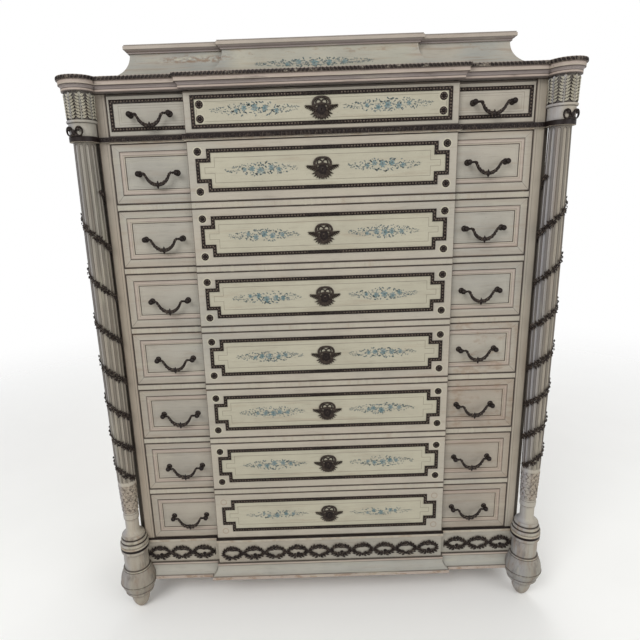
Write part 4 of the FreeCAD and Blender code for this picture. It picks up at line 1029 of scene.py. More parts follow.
class CHEST_OT_shafts(bpy.types.Operator):
    """Carve the two columns: neck, bead, leafy sleeve and round-ended flutes"""

    bl_idname = "chest.shafts"
    bl_label = "Column shafts"

    def execute(self, context):
        sizes = context.scene.chest_sizes
        tints = context.scene.chest_colours
        span = FLUTED_TO - FLUTED_FROM
        round_ends = [k * 0.9 * MM for k in range(13)]
        levels = [SHAFT_FOOT + k * 1.5 * MM for k in range(12)] + [SHAFT_FOOT + 30 * MM]  # neck
        levels += [SHAFT_FOOT + 44.9 * MM + k * 1.0 * MM for k in range(25)]              # bead
        levels += [SLEEVE_LOW + 0.1 * MM + k * 8 * MM for k in range(11)]
        levels += [FLUTED_FROM - 5 * MM + gap for gap in round_ends]
        levels += [FLUTED_FROM + span * k / 15 for k in range(1, 15)]
        levels += [SHAFT_HEAD - gap for gap in round_ends + [13 * MM, 16 * MM]]
        levels = sorted(set(min(max(z, SHAFT_FOOT), SHAFT_HEAD) for z in levels))
        shape = column_skin(lambda z, a: column_radius(z, a, sizes), levels, 216)
        self.sleeve(shape)
        shape.doubled()
        paint = old_paint("paint_columns", tints.ground, tints, (1, 1, 0.08), marks_shafts,
                          hollow=6 * MM)
        carcass_piece("column_shafts_carved", shape, paint, ["column_shafts"])
        return {"FINISHED"}

    @staticmethod
    def sleeve(shape):
        """Rows of small overlapping leaves round the sleeve."""
        dice = random.Random(3)
        rows, around = 9, 11
        rise = (FLUTED_FROM - 20 * MM - SLEEVE_LOW) / (rows - 1)
        for row in range(rows):
            z = SLEEVE_LOW + 1 * MM + row * rise
            for k in range(around):
                turn = 2 * math.pi * (k + 0.5 * (row % 2) + dice.uniform(-0.1, 0.1)) / around
                spot, out = about_column(turn, sleeve_radius(z) - 1.2 * MM, z)
                lean = out.cross(UP) * dice.uniform(-0.15, 0.15)
                shape.leaf(spot, (UP + out * 0.05 + lean).normalized(), out, 14 * MM, 12.5 * MM,
                           lift=0.5 * MM, thick=1.3 * MM)


CAPITAL_FOOT = SHAFT_HEAD
DRUM_LOW = CAPITAL_FOOT + 11.5 * MM
DRUM_TOP = DRUM_LOW + 30 * MM
BELL_LOW = DRUM_TOP + 6.5 * MM
CAPITAL_LEAVES = 8
BELL_R = 29.6 * MM
BELL_FLARE = 1.8 * MM


def bell_radius(share):
    """Radius of the bell at a share of its height, for a number or a socket."""
    return BELL_R + BELL_FLARE * share * share


def capital_radius(z):
    """Collar, plain drum, ring and bell."""
    if z < BELL_LOW:
        stops = [(CAPITAL_FOOT, 25.5 * MM), (DRUM_LOW, 25.5 * MM), (DRUM_LOW + 0.2 * MM, 30.4 * MM),
                 (DRUM_LOW + MM, 31 * MM), (DRUM_TOP - 1.2 * MM, 31 * MM),
                 (DRUM_TOP - 0.2 * MM, 31.6 * MM), (DRUM_TOP, 33.4 * MM),
                 (DRUM_TOP + 1.2 * MM, 34.5 * MM), (DRUM_TOP + 3.2 * MM, 35.0 * MM),
                 (DRUM_TOP + 5.2 * MM, 34.5 * MM), (BELL_LOW - 0.1 * MM, 33.2 * MM),
                 (BELL_LOW, BELL_R)]
        return blend_levels(stops, z)
    return bell_radius((z - BELL_LOW) / (CAPITAL_HEAD - BELL_LOW))


def marks_capitals(place, tints):
    """Painted shade on the ground behind the leaves, their tops pale as rubbed wear and painted
    highlight, dark lines under and over the ring as antique glazing and painted shade.
    """
    z = place.axis(2)
    bell = z.between(BELL_LOW, BELL_LOW + MM)
    share = (z - BELL_LOW) * (1 / (CAPITAL_HEAD - BELL_LOW))
    above = from_column(place) - bell_radius(share)
    return [
        (tints.cool, bell * 0.4),
        # painted cool light on the left flank
        (tints.painted_cool_light, left_flank(place) * 0.45),
        # painted shade on the ground behind the leaves
        (tints.glaze_and_shade, bell * (1 - above.between(0.4 * MM, 2.2 * MM)) * 0.85),
        # painted highlight with rubbed wear on the leaf tops
        (toned(tints.cream, PALE), bell * above.between(2.4 * MM, 3.4 * MM) * 0.75),
        # dark lines under and over the ring: antique glazing and painted shade
        (tints.glaze_and_shade, z.line(DRUM_TOP - 0.5 * MM, 1.0 * MM) * 0.6),
        (tints.glaze_and_shade, z.line(BELL_LOW, 1.0 * MM) * 0.6),
    ]


class CHEST_OT_capitals(bpy.types.Operator):
    """Carve the capitals: plain drum, ring and bell with tall veined leaves"""

    bl_idname = "chest.capitals"
    bl_label = "Capitals"

    def execute(self, context):
        tints = context.scene.chest_colours
        levels = [CAPITAL_FOOT, DRUM_LOW - 0.1 * MM]
        levels += [DRUM_LOW + step * MM for step in (0.2, 1, 10, 20, 28.8, 29.8)]
        levels += [DRUM_TOP + step * MM for step in (0.0, 0.6, 1.2, 2.2, 3.2, 4.2, 5.2, 6.0, 6.4)]
        levels += [BELL_LOW + 0.05 * MM + (CAPITAL_HEAD - BELL_LOW - 0.05 * MM) * k / 8
                   for k in range(9)]
        shape = column_skin(lambda z, a: capital_radius(z), levels, 96)
        for k in range(CAPITAL_LEAVES):
            self.plume(shape, 2 * math.pi * (k + 0.5) / CAPITAL_LEAVES)
        shape.doubled()
        paint = old_paint("paint_capitals", tints.ground, tints, (1, 1, 0.3), marks_capitals,
                          hollow=4 * MM)
        carcass_piece("capitals_carved", shape, paint, ["capitals"])
        return {"FINISHED"}

    @staticmethod
    def plume(shape, turn):
        """A tall leaf of paired leaflets on a rib, up the side of the bell."""
        high = CAPITAL_HEAD - BELL_LOW
        pairs = 8

        def on_bell(t, lift):
            return about_column(turn, bell_radius(t) + lift, BELL_LOW + high * t)

        stem = [on_bell(k / 10 * 0.97, 1.3 * MM)[0] for k in range(11)]
        shape.tube(stem, [(1.5 - 0.07 * k) * MM for k in range(11)], sides=8)
        for k in range(pairs):
            t = (k + 0.2) / pairs * 0.86
            spot, out = on_bell(t, 0.5 * MM)
            side = out.cross(UP)
            spread = 1.1 - 0.3 * t
            size = (16.5 - 5 * abs(t - 0.3)) * MM
            for sign in (-1, 1):
                along = (UP + side * (sign * spread) + out * 0.02).normalized()
                facing = (out + side * (sign * 0.25)).normalized()
                shape.leaf(spot, along, facing, size, 6.0 * MM, lift=1.5 * MM, thick=2.0 * MM,
                           curl=-0.15 * sign)
        tip, out = about_column(turn, BELL_R + 1.4 * MM, CAPITAL_HEAD - 11 * MM)
        shape.leaf(tip, UP, out, 10.6 * MM, 8 * MM, lift=1.4 * MM, thick=1.5 * MM)


GARLAND_LEVEL = 1133 * MM                # where its first full turn crosses the outer side
GARLAND_SIDE = -70.0                     # that place, in degrees round the column
GARLAND_FALL = 131 * MM                  # height of the first turn; each next one is less
GARLAND_EASE = 3.6 * MM
GARLAND_SLANT = 10 * MM                  # it runs steeper in front and flatter behind
GARLAND_TURNS = (-0.62, 6.42)


def garland_spot(turns, proud):
    """A place on the left column's garland, and the direction out from the axis there."""
    degrees = GARLAND_SIDE + 360 * turns
    turn = math.radians(degrees)
    ahead = math.sin(turn + math.radians(5)) - math.sin(math.radians(GARLAND_SIDE + 5))
    z = (GARLAND_LEVEL - GARLAND_FALL * turns + GARLAND_EASE * turns * turns -
         GARLAND_SLANT * ahead)
    out = about_column(turn, 0, 0)[1]
    return Vector((-COLUMN_X, COLUMN_Y, z)) + out * (shaft_radius(z) + proud), out


class CHEST_OT_garlands(bpy.types.Operator):
    """Wind a bronze ivy garland round each column"""

    bl_idname = "chest.garlands"
    bl_label = "Column garlands"

    def execute(self, context):
        sizes = context.scene.chest_sizes
        dice = random.Random(11)
        shape = Shape()
        start, end = GARLAND_TURNS
        steps = int((end - start) * 110)
        stem = [garland_spot(start + (end - start) * k / steps,
                             (1.0 + 0.5 * math.sin(k * 0.9)) * MM)[0] for k in range(steps + 1)]
        shape.tube(stem, [1.2 * MM] * len(stem), sides=6)
        turns = start
        hand = 1
        while turns < end:
            here, out = garland_spot(turns, 1.0 * MM)
            along = (garland_spot(turns + 0.004, 1.0 * MM)[0] - here).normalized()
            side = along.cross(out).normalized() * hand
            azimuth = (GARLAND_SIDE + 360 * turns + 180) % 360 - 180
            full = azimuth > -45
            spot = here + side * dice.uniform(0.5, 3.0) * MM + out * dice.uniform(0.2, 1.2) * MM
            heading = (along * dice.uniform(-0.2, 1.0) + side * dice.uniform(0.4, 1.0)).normalized()
            small, large = (0.8, 1.2) if full else (0.55, 0.8)
            size = sizes.garland_leaf * dice.uniform(small, large)
            self.ivy(shape, spot, heading, out, size, dice)
            if full and dice.random() < 0.55:
                berry = here - side * dice.uniform(1, 4) * MM + out * 0.8 * MM
                shape.dome(berry, out, along, 4.8 * MM, 4.8 * MM, 3.2 * MM, sides=7)
            hand = -hand
            turns += (0.021 if full else 0.034) * dice.uniform(0.75, 1.25)
        shape.doubled()
        bronze = shared_bronze(context.scene.chest_colours)
        carcass_piece("column_garlands", shape, bronze, sharp=50)
        return {"FINISHED"}

    @staticmethod
    def ivy(shape, spot, heading, out, size, dice):
        """A leaf of three lobes that stands a little off the column."""
        side = heading.cross(out).normalized()
        tilt = dice.uniform(0.0, 0.25)
        for turn, share in ((0.0, 1.0), (-0.95, 0.72), (0.95, 0.72)):
            along = (heading * math.cos(turn) + side * math.sin(turn) + out * tilt).normalized()
            shape.leaf(spot, along, out, size * share, size * share * 0.55, lift=0.8 * MM,
                       thick=1.2 * MM, curl=dice.uniform(-0.1, 0.1))


BOW_TURN = -16.0                         # degrees round the left column, towards its outer side
BOW_SPREAD = 22.0


class CHEST_OT_bows(bpy.types.Operator):
    """Tie a ribbon bow over the collar of each column"""

    bl_idname = "chest.bows"
    bl_label = "Column bows"

    def execute(self, context):
        shape = Shape()
        level = DRUM_LOW + 10.5 * MM
        middle = math.radians(BOW_TURN)
        facing = about_column(middle, 0, 0)[1]
        for sign in (-1, 1):
            turn = middle + sign * math.radians(BOW_SPREAD)
            centre, out = about_column(turn, 33.0 * MM, level)
            out = (out + facing * 1.5).normalized()
            across = out.cross(UP) * -sign
            rings = []
            for a in angles(40):
                spoke = across * (math.cos(a) * 0.86) + UP * (math.sin(a) * 1.05)
                foot = centre + spoke * 7.4 * MM
                thick = (3.6 + 0.7 * math.sin(a + 0.6)) * MM
                low, high = -0.6 * MM, (4.0 + 1.2 * math.sin(a)) * MM
                rings.append([foot + spoke * (thick * far) + out * (low + (high - low) * lift)
                              for far, lift in ((0.1, 0), (0.0, 0.4), (0.15, 0.8), (0.5, 1.0),
                                                (0.85, 0.85), (1.0, 0.5), (0.9, 0.0))])
            shape.loft(rings, closed=True)
            fold = [centre + UP * (8.6 - 8.5 * t) * MM - across * (2.2 * t * t * MM) +
                    out * (2.2 + 1.4 * math.sin(3 * t)) * MM for t in (k / 6 for k in range(7))]
            shape.tube(fold, [r * MM for r in (1.6, 3.0, 3.7, 3.8, 3.3, 2.2, 0.6)], sides=10,
                       flat=0.6)
            tail = []
            for k in range(9):
                share = k / 8
                spot, side = about_column(middle + sign * share * 0.55, 34.6 * MM,
                                          level - (6.5 + 6.5 * share - 2 * share * share) * MM)
                tail.append(spot + side * 1.2 * math.sin(5 * share) * MM)
            shape.tube(tail, [(3.4 - 2.0 * k / 8) * MM for k in range(9)], sides=8, flat=0.5)
        knot, out = about_column(middle, 35.4 * MM, level - 2 * MM)
        shape.turned([(1.0 * MM, -6.5 * MM), (3.8 * MM, -4.5 * MM), (4.6 * MM, 0.0),
                      (3.8 * MM, 4.5 * MM), (1.0 * MM, 6.5 * MM)], knot, UP, sides=14)
        shape.doubled()
        bronze = shared_bronze(context.scene.chest_colours)
        carcass_piece("column_bows_tied", shape, bronze, ["column_bows"])
        return {"FINISHED"}


# ---------------------------------------------------------------- bands and edges
def walk(path, pitch):
    """Evenly spaced (place, direction) pairs along a path, without its shortest stretches."""
    steps = []
    for start, end in zip(path, path[1:]):
        span = (end - start).length
        if span < pitch * 0.6:
            continue
        count = max(1, round(span / pitch))
        along = (end - start).normalized()
        for k in range(count):
            steps.append((start + along * (span * (k + 0.5) / count), along))
    return steps


def front_path(half, out):
    """Plan line along the front, following the forward centre; left to right."""
    front = PANEL_FACE - out
    forward = front - BREAK_OUT
    corner = BREAK_HALF + out
    return [Vector((-half, front, 0)), Vector((-corner, front, 0)), Vector((-corner, forward, 0)),
            Vector((corner, forward, 0)), Vector((corner, front, 0)), Vector((half, front, 0))]


def leaf_row(shape, path, level, high, wide, proud, lean=0.0):
    """A row of small upright tongues, each with a rib, along a plan path."""
    for spot, along in walk(path, wide):
        out = along.cross(UP).normalized()
        foot = spot + UP * level - along * (high * lean / 2)
        rise = UP + along * lean
        rings = []
        for t, share in ((0.0, 0.86), (0.35, 1.0), (0.68, 0.84), (0.9, 0.46), (1.0, 0.08)):
            half = wide * 0.47 * share
            middle = foot + rise * (high * t)
            bulge = proud * (0.45 + 0.55 * math.sin(math.pi * min(1.0, t * 0.9 + 0.1)))
            rings.append([middle - along * half, middle - along * half * 0.55 + out * bulge,
                          middle + out * bulge * 0.55, middle + along * half * 0.55 + out * bulge,
                          middle + along * half, middle - out * 0.3 * MM])
        shape.loft(rings)


def ring_path(radius, start, end, steps):
    """Plan arc round the left column axis, angles in degrees from straight ahead."""
    return [about_column(math.radians(start + (end - start) * k / steps), radius, 0)[0]
            for k in range(steps + 1)]


class CHEST_OT_bands(bpy.types.Operator):
    """Bronze bands under the frieze drawer and over the plinth, with leaf tips"""

    bl_idname = "chest.bands"
    bl_label = "Bronze bands"

    def execute(self, context):
        tints = context.scene.chest_colours
        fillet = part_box("waist_moulding")[0].z + 3.5 * MM
        finish_node("waist_moulding", two_finishes(
            "waist_finish", tints, lambda place: place.axis(2).between(fillet, fillet + 0.3 * MM)))
        band_low, band_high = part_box("plinth_band")

        def bronze_part(place):
            z = place.axis(2)
            ring = 1 - from_column(place).between(39.8 * MM, 40.2 * MM)
            below = 1 - z.between(band_low.z + 7.2 * MM, band_low.z + 7.5 * MM)
            above = z.between(band_high.z - 5.4 * MM, band_high.z - 5.1 * MM)
            return ring * below + (1 - ring) * above
        finish_node("plinth_band", two_finishes("plinth_band_finish", tints, bronze_part))
        waist_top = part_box("waist_moulding")[1].z
        shape = Shape()
        leaf_row(shape, front_path(DRAWER_HALF + 20 * MM, 7.6 * MM), waist_top - 10.6 * MM,
                 9.2 * MM, 9 * MM, 2.0 * MM)
        carcass_piece("waist_leaf_tips", shape, shared_bronze(tints))
        return {"FINISHED"}


class CHEST_OT_cornice_edge(bpy.types.Operator):
    """Carved leaf edge along the top of the cornice and round its corner caps"""

    bl_idname = "chest.cornice_edge"
    bl_label = "Cornice leaf edge"

    def execute(self, context):
        sizes = context.scene.chest_sizes
        tints = context.scene.chest_colours
        out = 30 * MM                   # the edge stands this far before the panels
        cap = 45.5 * MM                 # radius of its run round a corner cap
        high, proud, lean = 8.1 * MM, 1.7 * MM, 0.5
        shape = Shape()
        low = TOP_TOP - 8.3 * MM
        side_x = -(CASE_HALF + out)
        back_reach = math.sqrt(cap ** 2 - (side_x + COLUMN_X) ** 2)
        back_turn = -math.degrees(math.acos(-back_reach / cap))
        front_reach = math.sqrt(cap ** 2 - (PANEL_FACE - out - COLUMN_Y) ** 2)
        front_turn = math.degrees(math.asin(front_reach / cap))
        arc = ring_path(cap, back_turn, front_turn, 24)
        corner = BREAK_HALF - 13 * MM + out
        front = PANEL_FACE - out
        left = [Vector((side_x, CASE_BACK - 3 * MM, 0)), arc[0]]
        run = [arc[-1], Vector((-corner, front, 0)), Vector((-corner, front - BREAK_OUT, 0)),
               Vector((0, front - BREAK_OUT, 0))]
        for path in (left, run):
            leaf_row(shape, path, low, high, sizes.edge_leaf, proud, lean)
        turn = math.radians(front_turn - back_turn)
        count = round(cap * turn / sizes.edge_leaf)
        for k in range(count):
            pair = ring_path(cap, back_turn + math.degrees(turn) * k / count,
                             back_turn + math.degrees(turn) * (k + 1) / count, 1)
            leaf_row(shape, pair, low, high, (pair[1] - pair[0]).length, proud, lean)
        shape.doubled()
        paint = two_finishes("leaf_edge_finish", tints,
                             lambda place: 1 - place.noise(60, 5, 0.7).between(0.56, 0.66) * 0.6)
        carcass_piece("cornice_leaf_edge", shape, paint)
        return {"FINISHED"}


WREATH_PITCH = 63.5 * MM
WREATH_LEVEL = PLINTH_TOP - 35 * MM
WREATH_WIDE = 26 * MM                   # from the middle of a wreath to its ring, sideways
WREATH_HIGH = 15.4 * MM                 # and upwards


def wreath(shape, x, face, bloom, leaf, dice):
    """One oval wreath of paired laurel leaves and berries, with blossoms below if it blooms."""
    def spot(a):
        return Vector((x + WREATH_WIDE * math.cos(a), face - 1.6 * MM,
                       WREATH_LEVEL + WREATH_HIGH * math.sin(a)))

    rings = []
    for a in angles(36):
        spoke = Vector((math.cos(a) * WREATH_HIGH, 0, math.sin(a) * WREATH_WIDE)).normalized()
        rings.append([spot(a) + spoke * (2.9 * MM * math.cos(b)) + OUT * (1.7 * MM * math.sin(b))
                      for b in angles(6)])
    shape.loft(rings, closed=True)
    for step in (1, -1):
        for k in range(9):
            a = -math.pi / 2 + (k + 0.4) * math.pi / 9.4
            full = 0.62 + 0.5 * abs(math.sin(a))
            a = a if step > 0 else math.pi - a
            here = spot(a)
            along = (spot(a + 0.05 * step) - here).normalized()
            for sign in (-1, 1):
                side = along.cross(OUT) * sign
                point = (along + side * dice.uniform(0.75, 1.3) + OUT * 0.1).normalized()
                size = leaf * full * dice.uniform(0.9, 1.15)
                shape.leaf(here + OUT * 0.3 * MM, point, OUT, size, size * 0.62, lift=1.2 * MM,
                           thick=1.7 * MM)
            if k % 2:
                shape.dome(here + OUT * 1.4 * MM, OUT, along, 3.4 * MM, 3.4 * MM, 2.2 * MM, sides=7)
    foot = WREATH_LEVEL - WREATH_HIGH
    for right, up, size in ((3, 8.0, 5.4), (-7, 5.4, 3.8), (12, 6.4, 3.4)) if bloom else ():
        rosette(shape, Vector((x + right * MM, face - 1.2 * MM, foot + up * MM)), size * MM,
                3.6 * MM, petals=5, sides=20)
    for sign in (-1, 1):
        shape.leaf(Vector((x, face - 2.0 * MM, WREATH_LEVEL - sign * WREATH_HIGH)),
                   Vector((0.2, 0, -sign)).normalized(), OUT, 6 * MM, 5 * MM, lift=MM,
                   thick=1.4 * MM)


def tie(shape, x, face):
    """Crossed ribbons with a knot, between two wreaths."""
    centre = Vector((x, face - 2.6 * MM, WREATH_LEVEL))
    for sign in (-1, 1):
        path = [centre + Vector((9.5 * MM * s, -1.0 * MM * math.cos(math.pi * s / 2),
                                 sign * 8.5 * MM * math.sin(math.pi * s / 2)))
                for s in (k / 6 - 1 for k in range(13))]
        shape.tube(path, [2.5 * MM - 0.6 * MM * abs(k / 6 - 1) for k in range(13)], sides=8,
                   flat=0.5)
        for far in (-1, 1):
            foot = centre + Vector((far * 8 * MM, 0, sign * 7.4 * MM))
            shape.leaf(foot, Vector((far * 0.75, 0, sign * 0.66)), OUT, 9 * MM, 5 * MM,
                       lift=0.9 * MM, thick=1.3 * MM)
    shape.dome(centre, OUT, RIGHT, 7 * MM, 6 * MM, 3.4 * MM, sides=10)


def chain(shape, middle, count, face, ends, leaf, dice):
    """Wreaths tied in a row; ends are the sides (-1, 1) that close with upright leaves."""
    first = middle - WREATH_PITCH * (count - 1) / 2
    for k in range(count):
        wreath(shape, first + k * WREATH_PITCH, face, (k + count) % 2 == 1, leaf, dice)
        if k:
            tie(shape, first + (k - 0.5) * WREATH_PITCH, face)
    for end in ends:
        x = first + (0 if end < 0 else count - 1) * WREATH_PITCH + end * 34.5 * MM
        for shift, high in ((0, 15), (-end * 4, 10)):
            spot = Vector((x + shift * MM, face - 0.8 * MM, WREATH_LEVEL - high * MM))
            shape.leaf(spot, UP, OUT, 2 * high * MM, 4 * MM, lift=0.8 * MM)


class CHEST_OT_wreaths(bpy.types.Operator):
    """Chain of laurel wreaths on the plinth: three, ten and three"""

    bl_idname = "chest.wreaths"
    bl_label = "Plinth wreaths"

    def execute(self, context):
        leaf = context.scene.chest_sizes.wreath_leaf
        dice = random.Random(5)
        shape = Shape()
        aside = DRAWER_HALF - 74 * MM
        for middle in (-aside, aside):
            chain(shape, middle, 3, PANEL_FACE, (-1, 1), leaf, dice)
        chain(shape, 0.0, 10, CENTRE_FACE, (), leaf, dice)
        bronze = shared_bronze(context.scene.chest_colours)
        carcass_piece("plinth_laurel", shape, bronze, ["plinth_wreaths"], 50)
        return {"FINISHED"}


# ---------------------------------------------------------------- bronze on the drawers
def rosette(shape, centre, radius, high, petals=8, sides=40):
    """A round boss with petals and a raised button, its back on the face behind it."""
    profile = [(1.0, 0.0), (1.0, 0.30), (0.93, 0.42), (0.86, None), (0.72, None), (0.56, None),
               (0.42, None), (0.36, 0.30), (0.32, 0.72), (0.22, 0.96), (0.08, 1.0)]
    rows = []
    for share, level in profile:
        row = []
        for a in angles(sides):
            rise = level
            if rise is None:            # the petals, higher along their middles
                wave = abs(math.cos(a * petals / 2)) ** 0.7
                rise = 0.28 + 0.42 * wave * math.sin(math.pi * (0.95 - share) / 0.6)
            row.append(centre + RIGHT * (radius * share * math.cos(a)) +
                       UP * (radius * share * math.sin(a)) + OUT * (high * rise))
        rows.append(row)
    shape.loft(rows)


def strip(shape, ring, face, width):
    """A strip with raised borders round a closed path; ring(inset) gives its corners."""
    far = width / MM
    profile = [(0, 0), (0, 1.5), (0.5, 2.1), (1.2, 2.0), (1.6, 1.1), (far - 1.6, 1.1),
               (far - 1.2, 2.0), (far - 0.5, 2.1), (far, 1.5), (far, 0)]
    shape.loft([[Vector((x, face - out * MM, z)) for x, z in ring(across * MM)]
                for across, out in profile], closed=True)


SIDE_STRIP = ((0, 0), (0, 1.6), (0.8, 2.2), (2, 1.2), (7, 1.2), (8.2, 2.2), (9, 1.6), (9, 0))


def side_strips(shape, low, high, pitch):
    """Three-sided beaded strips on the side panels of the frieze drawer."""
    outer = -(DRAWER_HALF - 6 * MM)

    def corners(inset, out):
        far = inset * MM
        return [Vector((x, PANEL_FACE - out * MM, z)) for x, z in (
            (-BREAK_HALF, high - far), (outer + far, high - far), (outer + far, low + far),
            (-BREAK_HALF, low + far))]

    half = Shape()
    rows = [corners(across, out) for across, out in SIDE_STRIP]
    half.loft([list(section) for section in zip(*rows)])
    for spot, along in walk(corners(4.5, 0), pitch):
        half.dome(spot + OUT * MM, OUT, along, 5.6 * MM, 5.2 * MM, 1.8 * MM)
    half.doubled()
    shape.add(half.points, half.faces)


def beads(shape, corners, face, pitch):
    """Beads along the middle of a strip."""
    path = [Vector((x, face, z)) for x, z in corners + corners[:1]]
    for spot, along in walk(path, pitch):
        shape.dome(spot + OUT * 0.9 * MM, OUT, along, 5.6 * MM, 5.4 * MM, 1.9 * MM)


def notched(half, low, high, notch_wide, notch_high):
    """Corners of a rectangle that steps in at each corner, for any inset."""
    middle = (low + high) / 2

    def ring(inset):
        w, h = half - inset, (high - low) / 2 - inset
        if notch_wide:
            quarter = [(w, h - notch_high), (w - notch_wide, h - notch_high), (w - notch_wide, h)]
        else:
            quarter = [(w, h)]
        points = quarter + [(-x, z) for x, z in reversed(quarter)]
        points += [(-x, -z) for x, z in quarter] + [(x, -z) for x, z in reversed(quarter)]
        return [(x, middle + z) for x, z in points]
    return ring


def escutcheon(shape, x, z, face):
    """Pierced plate: shield with keyhole, open crown, scrolls, leafy wings and foot."""
    centre = Vector((x, face, z))

    def at(right, up, out=0.0):
        return centre + Vector((right * MM, -out * MM, up * MM))

    def bar(points, thick, thin):
        path = [at(*point) for point in eased(points, 4)]
        last = len(path) - 1
        shape.tube(path, [(thick + (thin - thick) * k / last) * MM for k in range(last + 1)],
                   sides=8, flat=0.75)

    def frond(x0, z0, x1, z1, wide):
        begin, end = at(x0, z0, 0.7), at(x1, z1, 0.9)
        along = end - begin
        shape.leaf(begin, along.normalized(), OUT, along.length, wide * MM, lift=1.5 * MM,
                   thick=1.5 * MM)

    round_about = angles(32)
    rows = []
    for share, out in ((1.0, 0.0), (1.0, 1.6), (0.95, 2.6), (0.86, 2.7), (0.80, 1.8), (0.70, 1.8),
                       (0.45, 2.5), (0.30, 2.7)):
        rows.append([at(12.5 * share * math.cos(a), -5 + 13.5 * share * math.sin(a), out)
                     for a in round_about])
    for out in (2.7, 0.4):              # the keyhole: a round eye over a long slot
        rows.append([at(1.9 * math.cos(a),
                        -1 + (1.9 if math.sin(a) > 0 else 7.5) * math.sin(a), out)
                     for a in round_about])
    shape.loft(rows)
    bar([(-20, 4.5, 1.5), (-10, 7.6, 1.9), (0, 9.2, 2.0), (10, 7.6, 1.9), (20, 4.5, 1.5)], 2.5, 2.5)
    for sign in (-1, 1):
        bar([(sign * 19.0, 4.5, 1.3), (sign * 19.8, 12.0, 1.6), (sign * 15.4, 19.4, 1.7),
             (sign * 8.0, 22.8, 1.8), (0.0, 23.2, 1.8)], 3.0, 2.6)
        bar([(sign * 12.2, 8.0, 1.3), (sign * 12.6, 14.0, 1.5), (sign * 8.6, 18.2, 1.6),
             (sign * 3.4, 17.0, 1.6), (0.0, 12.6, 1.6)], 1.7, 1.5)
        for k in range(6):
            far = k / 5
            x0, z0 = 12 + 22 * far, -2.0 + 5.0 * far
            size = 10.5 - 4.5 * far
            for turn in (-1.15, 0.75):
                angle = 0.2 + turn * (1 - 0.35 * far)
                frond(sign * x0, z0, sign * (x0 + size * math.cos(angle)),
                      z0 + size * math.sin(angle), 4.8 - 2.0 * far)
        bar([(sign * 11, -3, 1.4), (sign * 24, 0.8, 1.5), (sign * 40.5, 4.6, 1.2)], 2.3, 0.5)
        for k in range(5):
            turn = math.radians(-20 - 15.5 * k)
            tip = 28.5 - 1.6 * k
            frond(sign * 9 * math.cos(turn), -5 + 9 * math.sin(turn), sign * tip * math.cos(turn),
                  -5 + tip * math.sin(turn), 5.0)
            turn -= 0.14
            bar([(sign * r * math.cos(turn + bow), -5 + r * math.sin(turn + bow), 2.6)
                 for r, bow in ((11, 0.0), (15.5, 0.08), (19.5, -0.02))], 1.1, 1.7)
    frond(0, -15, 0, -27.0, 6.0)
    shape.dome(at(0, 24.0, 0.3), OUT, RIGHT, 4.8 * MM, 4.4 * MM, 3.2 * MM, sides=12)
    shape.dome(at(0, 13.0, 0.6), OUT, RIGHT, 5.0 * MM, 6.5 * MM, 3.0 * MM, sides=12)


def post(shape, x, z):
    """Turned post with its ball, the stud through the front and the nut behind."""
    centre = Vector((x, PANEL_FACE, z))
    profile = [(2.0, -22.0), (2.0, 0.0), (7.4, 0.0), (7.7, 0.6), (7.0, 1.5), (4.6, 2.2), (3.3, 4.0),
               (3.0, 8.0), (3.4, 10.6), (4.8, 11.6), (6.2, 13.8), (6.9, 17.0), (6.7, 19.2),
               (5.8, 21.6), (4.2, 23.1), (3.0, 23.6), (3.3, 24.1), (2.7, 24.9), (0.6, 25.4)]
    shape.turned([(r * MM, far * MM) for r, far in profile], centre, OUT, sides=20)
    nut = Vector((x, FRONT_BACK, z))
    rings = []
    for size, depth in ((4.4, 0.0), (5.0, 0.5), (5.0, 2.5), (4.4, 3.0)):
        rings.append([nut - OUT * (depth * MM) + RIGHT * (a * size * MM) + UP * (b * size * MM)
                      for a, b in SQUARE])
    shape.loft(rings)


def lock_case(shape, z):
    """Lock let into the back of the front, with a raised rim and four screws."""
    half_wide, half_high = 31 * MM, 22 * MM
    rings = []
    for inset, depth in ((0.0, 10.9), (0.0, 0.4), (0.4, 0.1), (2.0, 0.1), (2.4, 0.7), (14.0, 0.7),
                         (14.4, 0.2), (18.0, 0.2)):
        w, h = half_wide - inset * MM, half_high - min(inset, 17.0) * MM
        rings.append([Vector((a * w, FRONT_BACK - depth * MM, z + b * h)) for a, b in SQUARE])
    shape.loft(rings)
    w, h = half_wide - 6 * MM, half_high - 6 * MM
    for a, b in SQUARE:
        shape.dome(Vector((a * w, FRONT_BACK - 0.7 * MM, z + b * h)), -OUT, RIGHT, 6 * MM, 6 * MM,
                   0.7 * MM, sides=14)


def mount_highlights(place):
    """Painted highlight: beads and borders of the strips made pale, the castings in the middle less
    so.
    """
    x = abs(place.axis(0))
    face = CENTRE_FACE + x.between(BREAK_HALF - MM, BREAK_HALF) * BREAK_OUT
    beside = x.between(43 * MM, 45 * MM)
    above = face - place.axis(1)
    cast = above.between(2.4 * MM, 3.0 * MM) * (1 - beside) * 0.14
    return (above.inside(2.45 * MM, 3.0 * MM, 0.15 * MM) * beside * 0.5).most(cast)


NOTCH_HIGH = 22 * MM
POST_HALF = 46.5 * MM                   # half the distance between the two posts of a pull
PULL_ASIDE = 76 * MM                    # from the forward centre to the middle of a pull
FRIEZE_PULL_ASIDE = 83 * MM


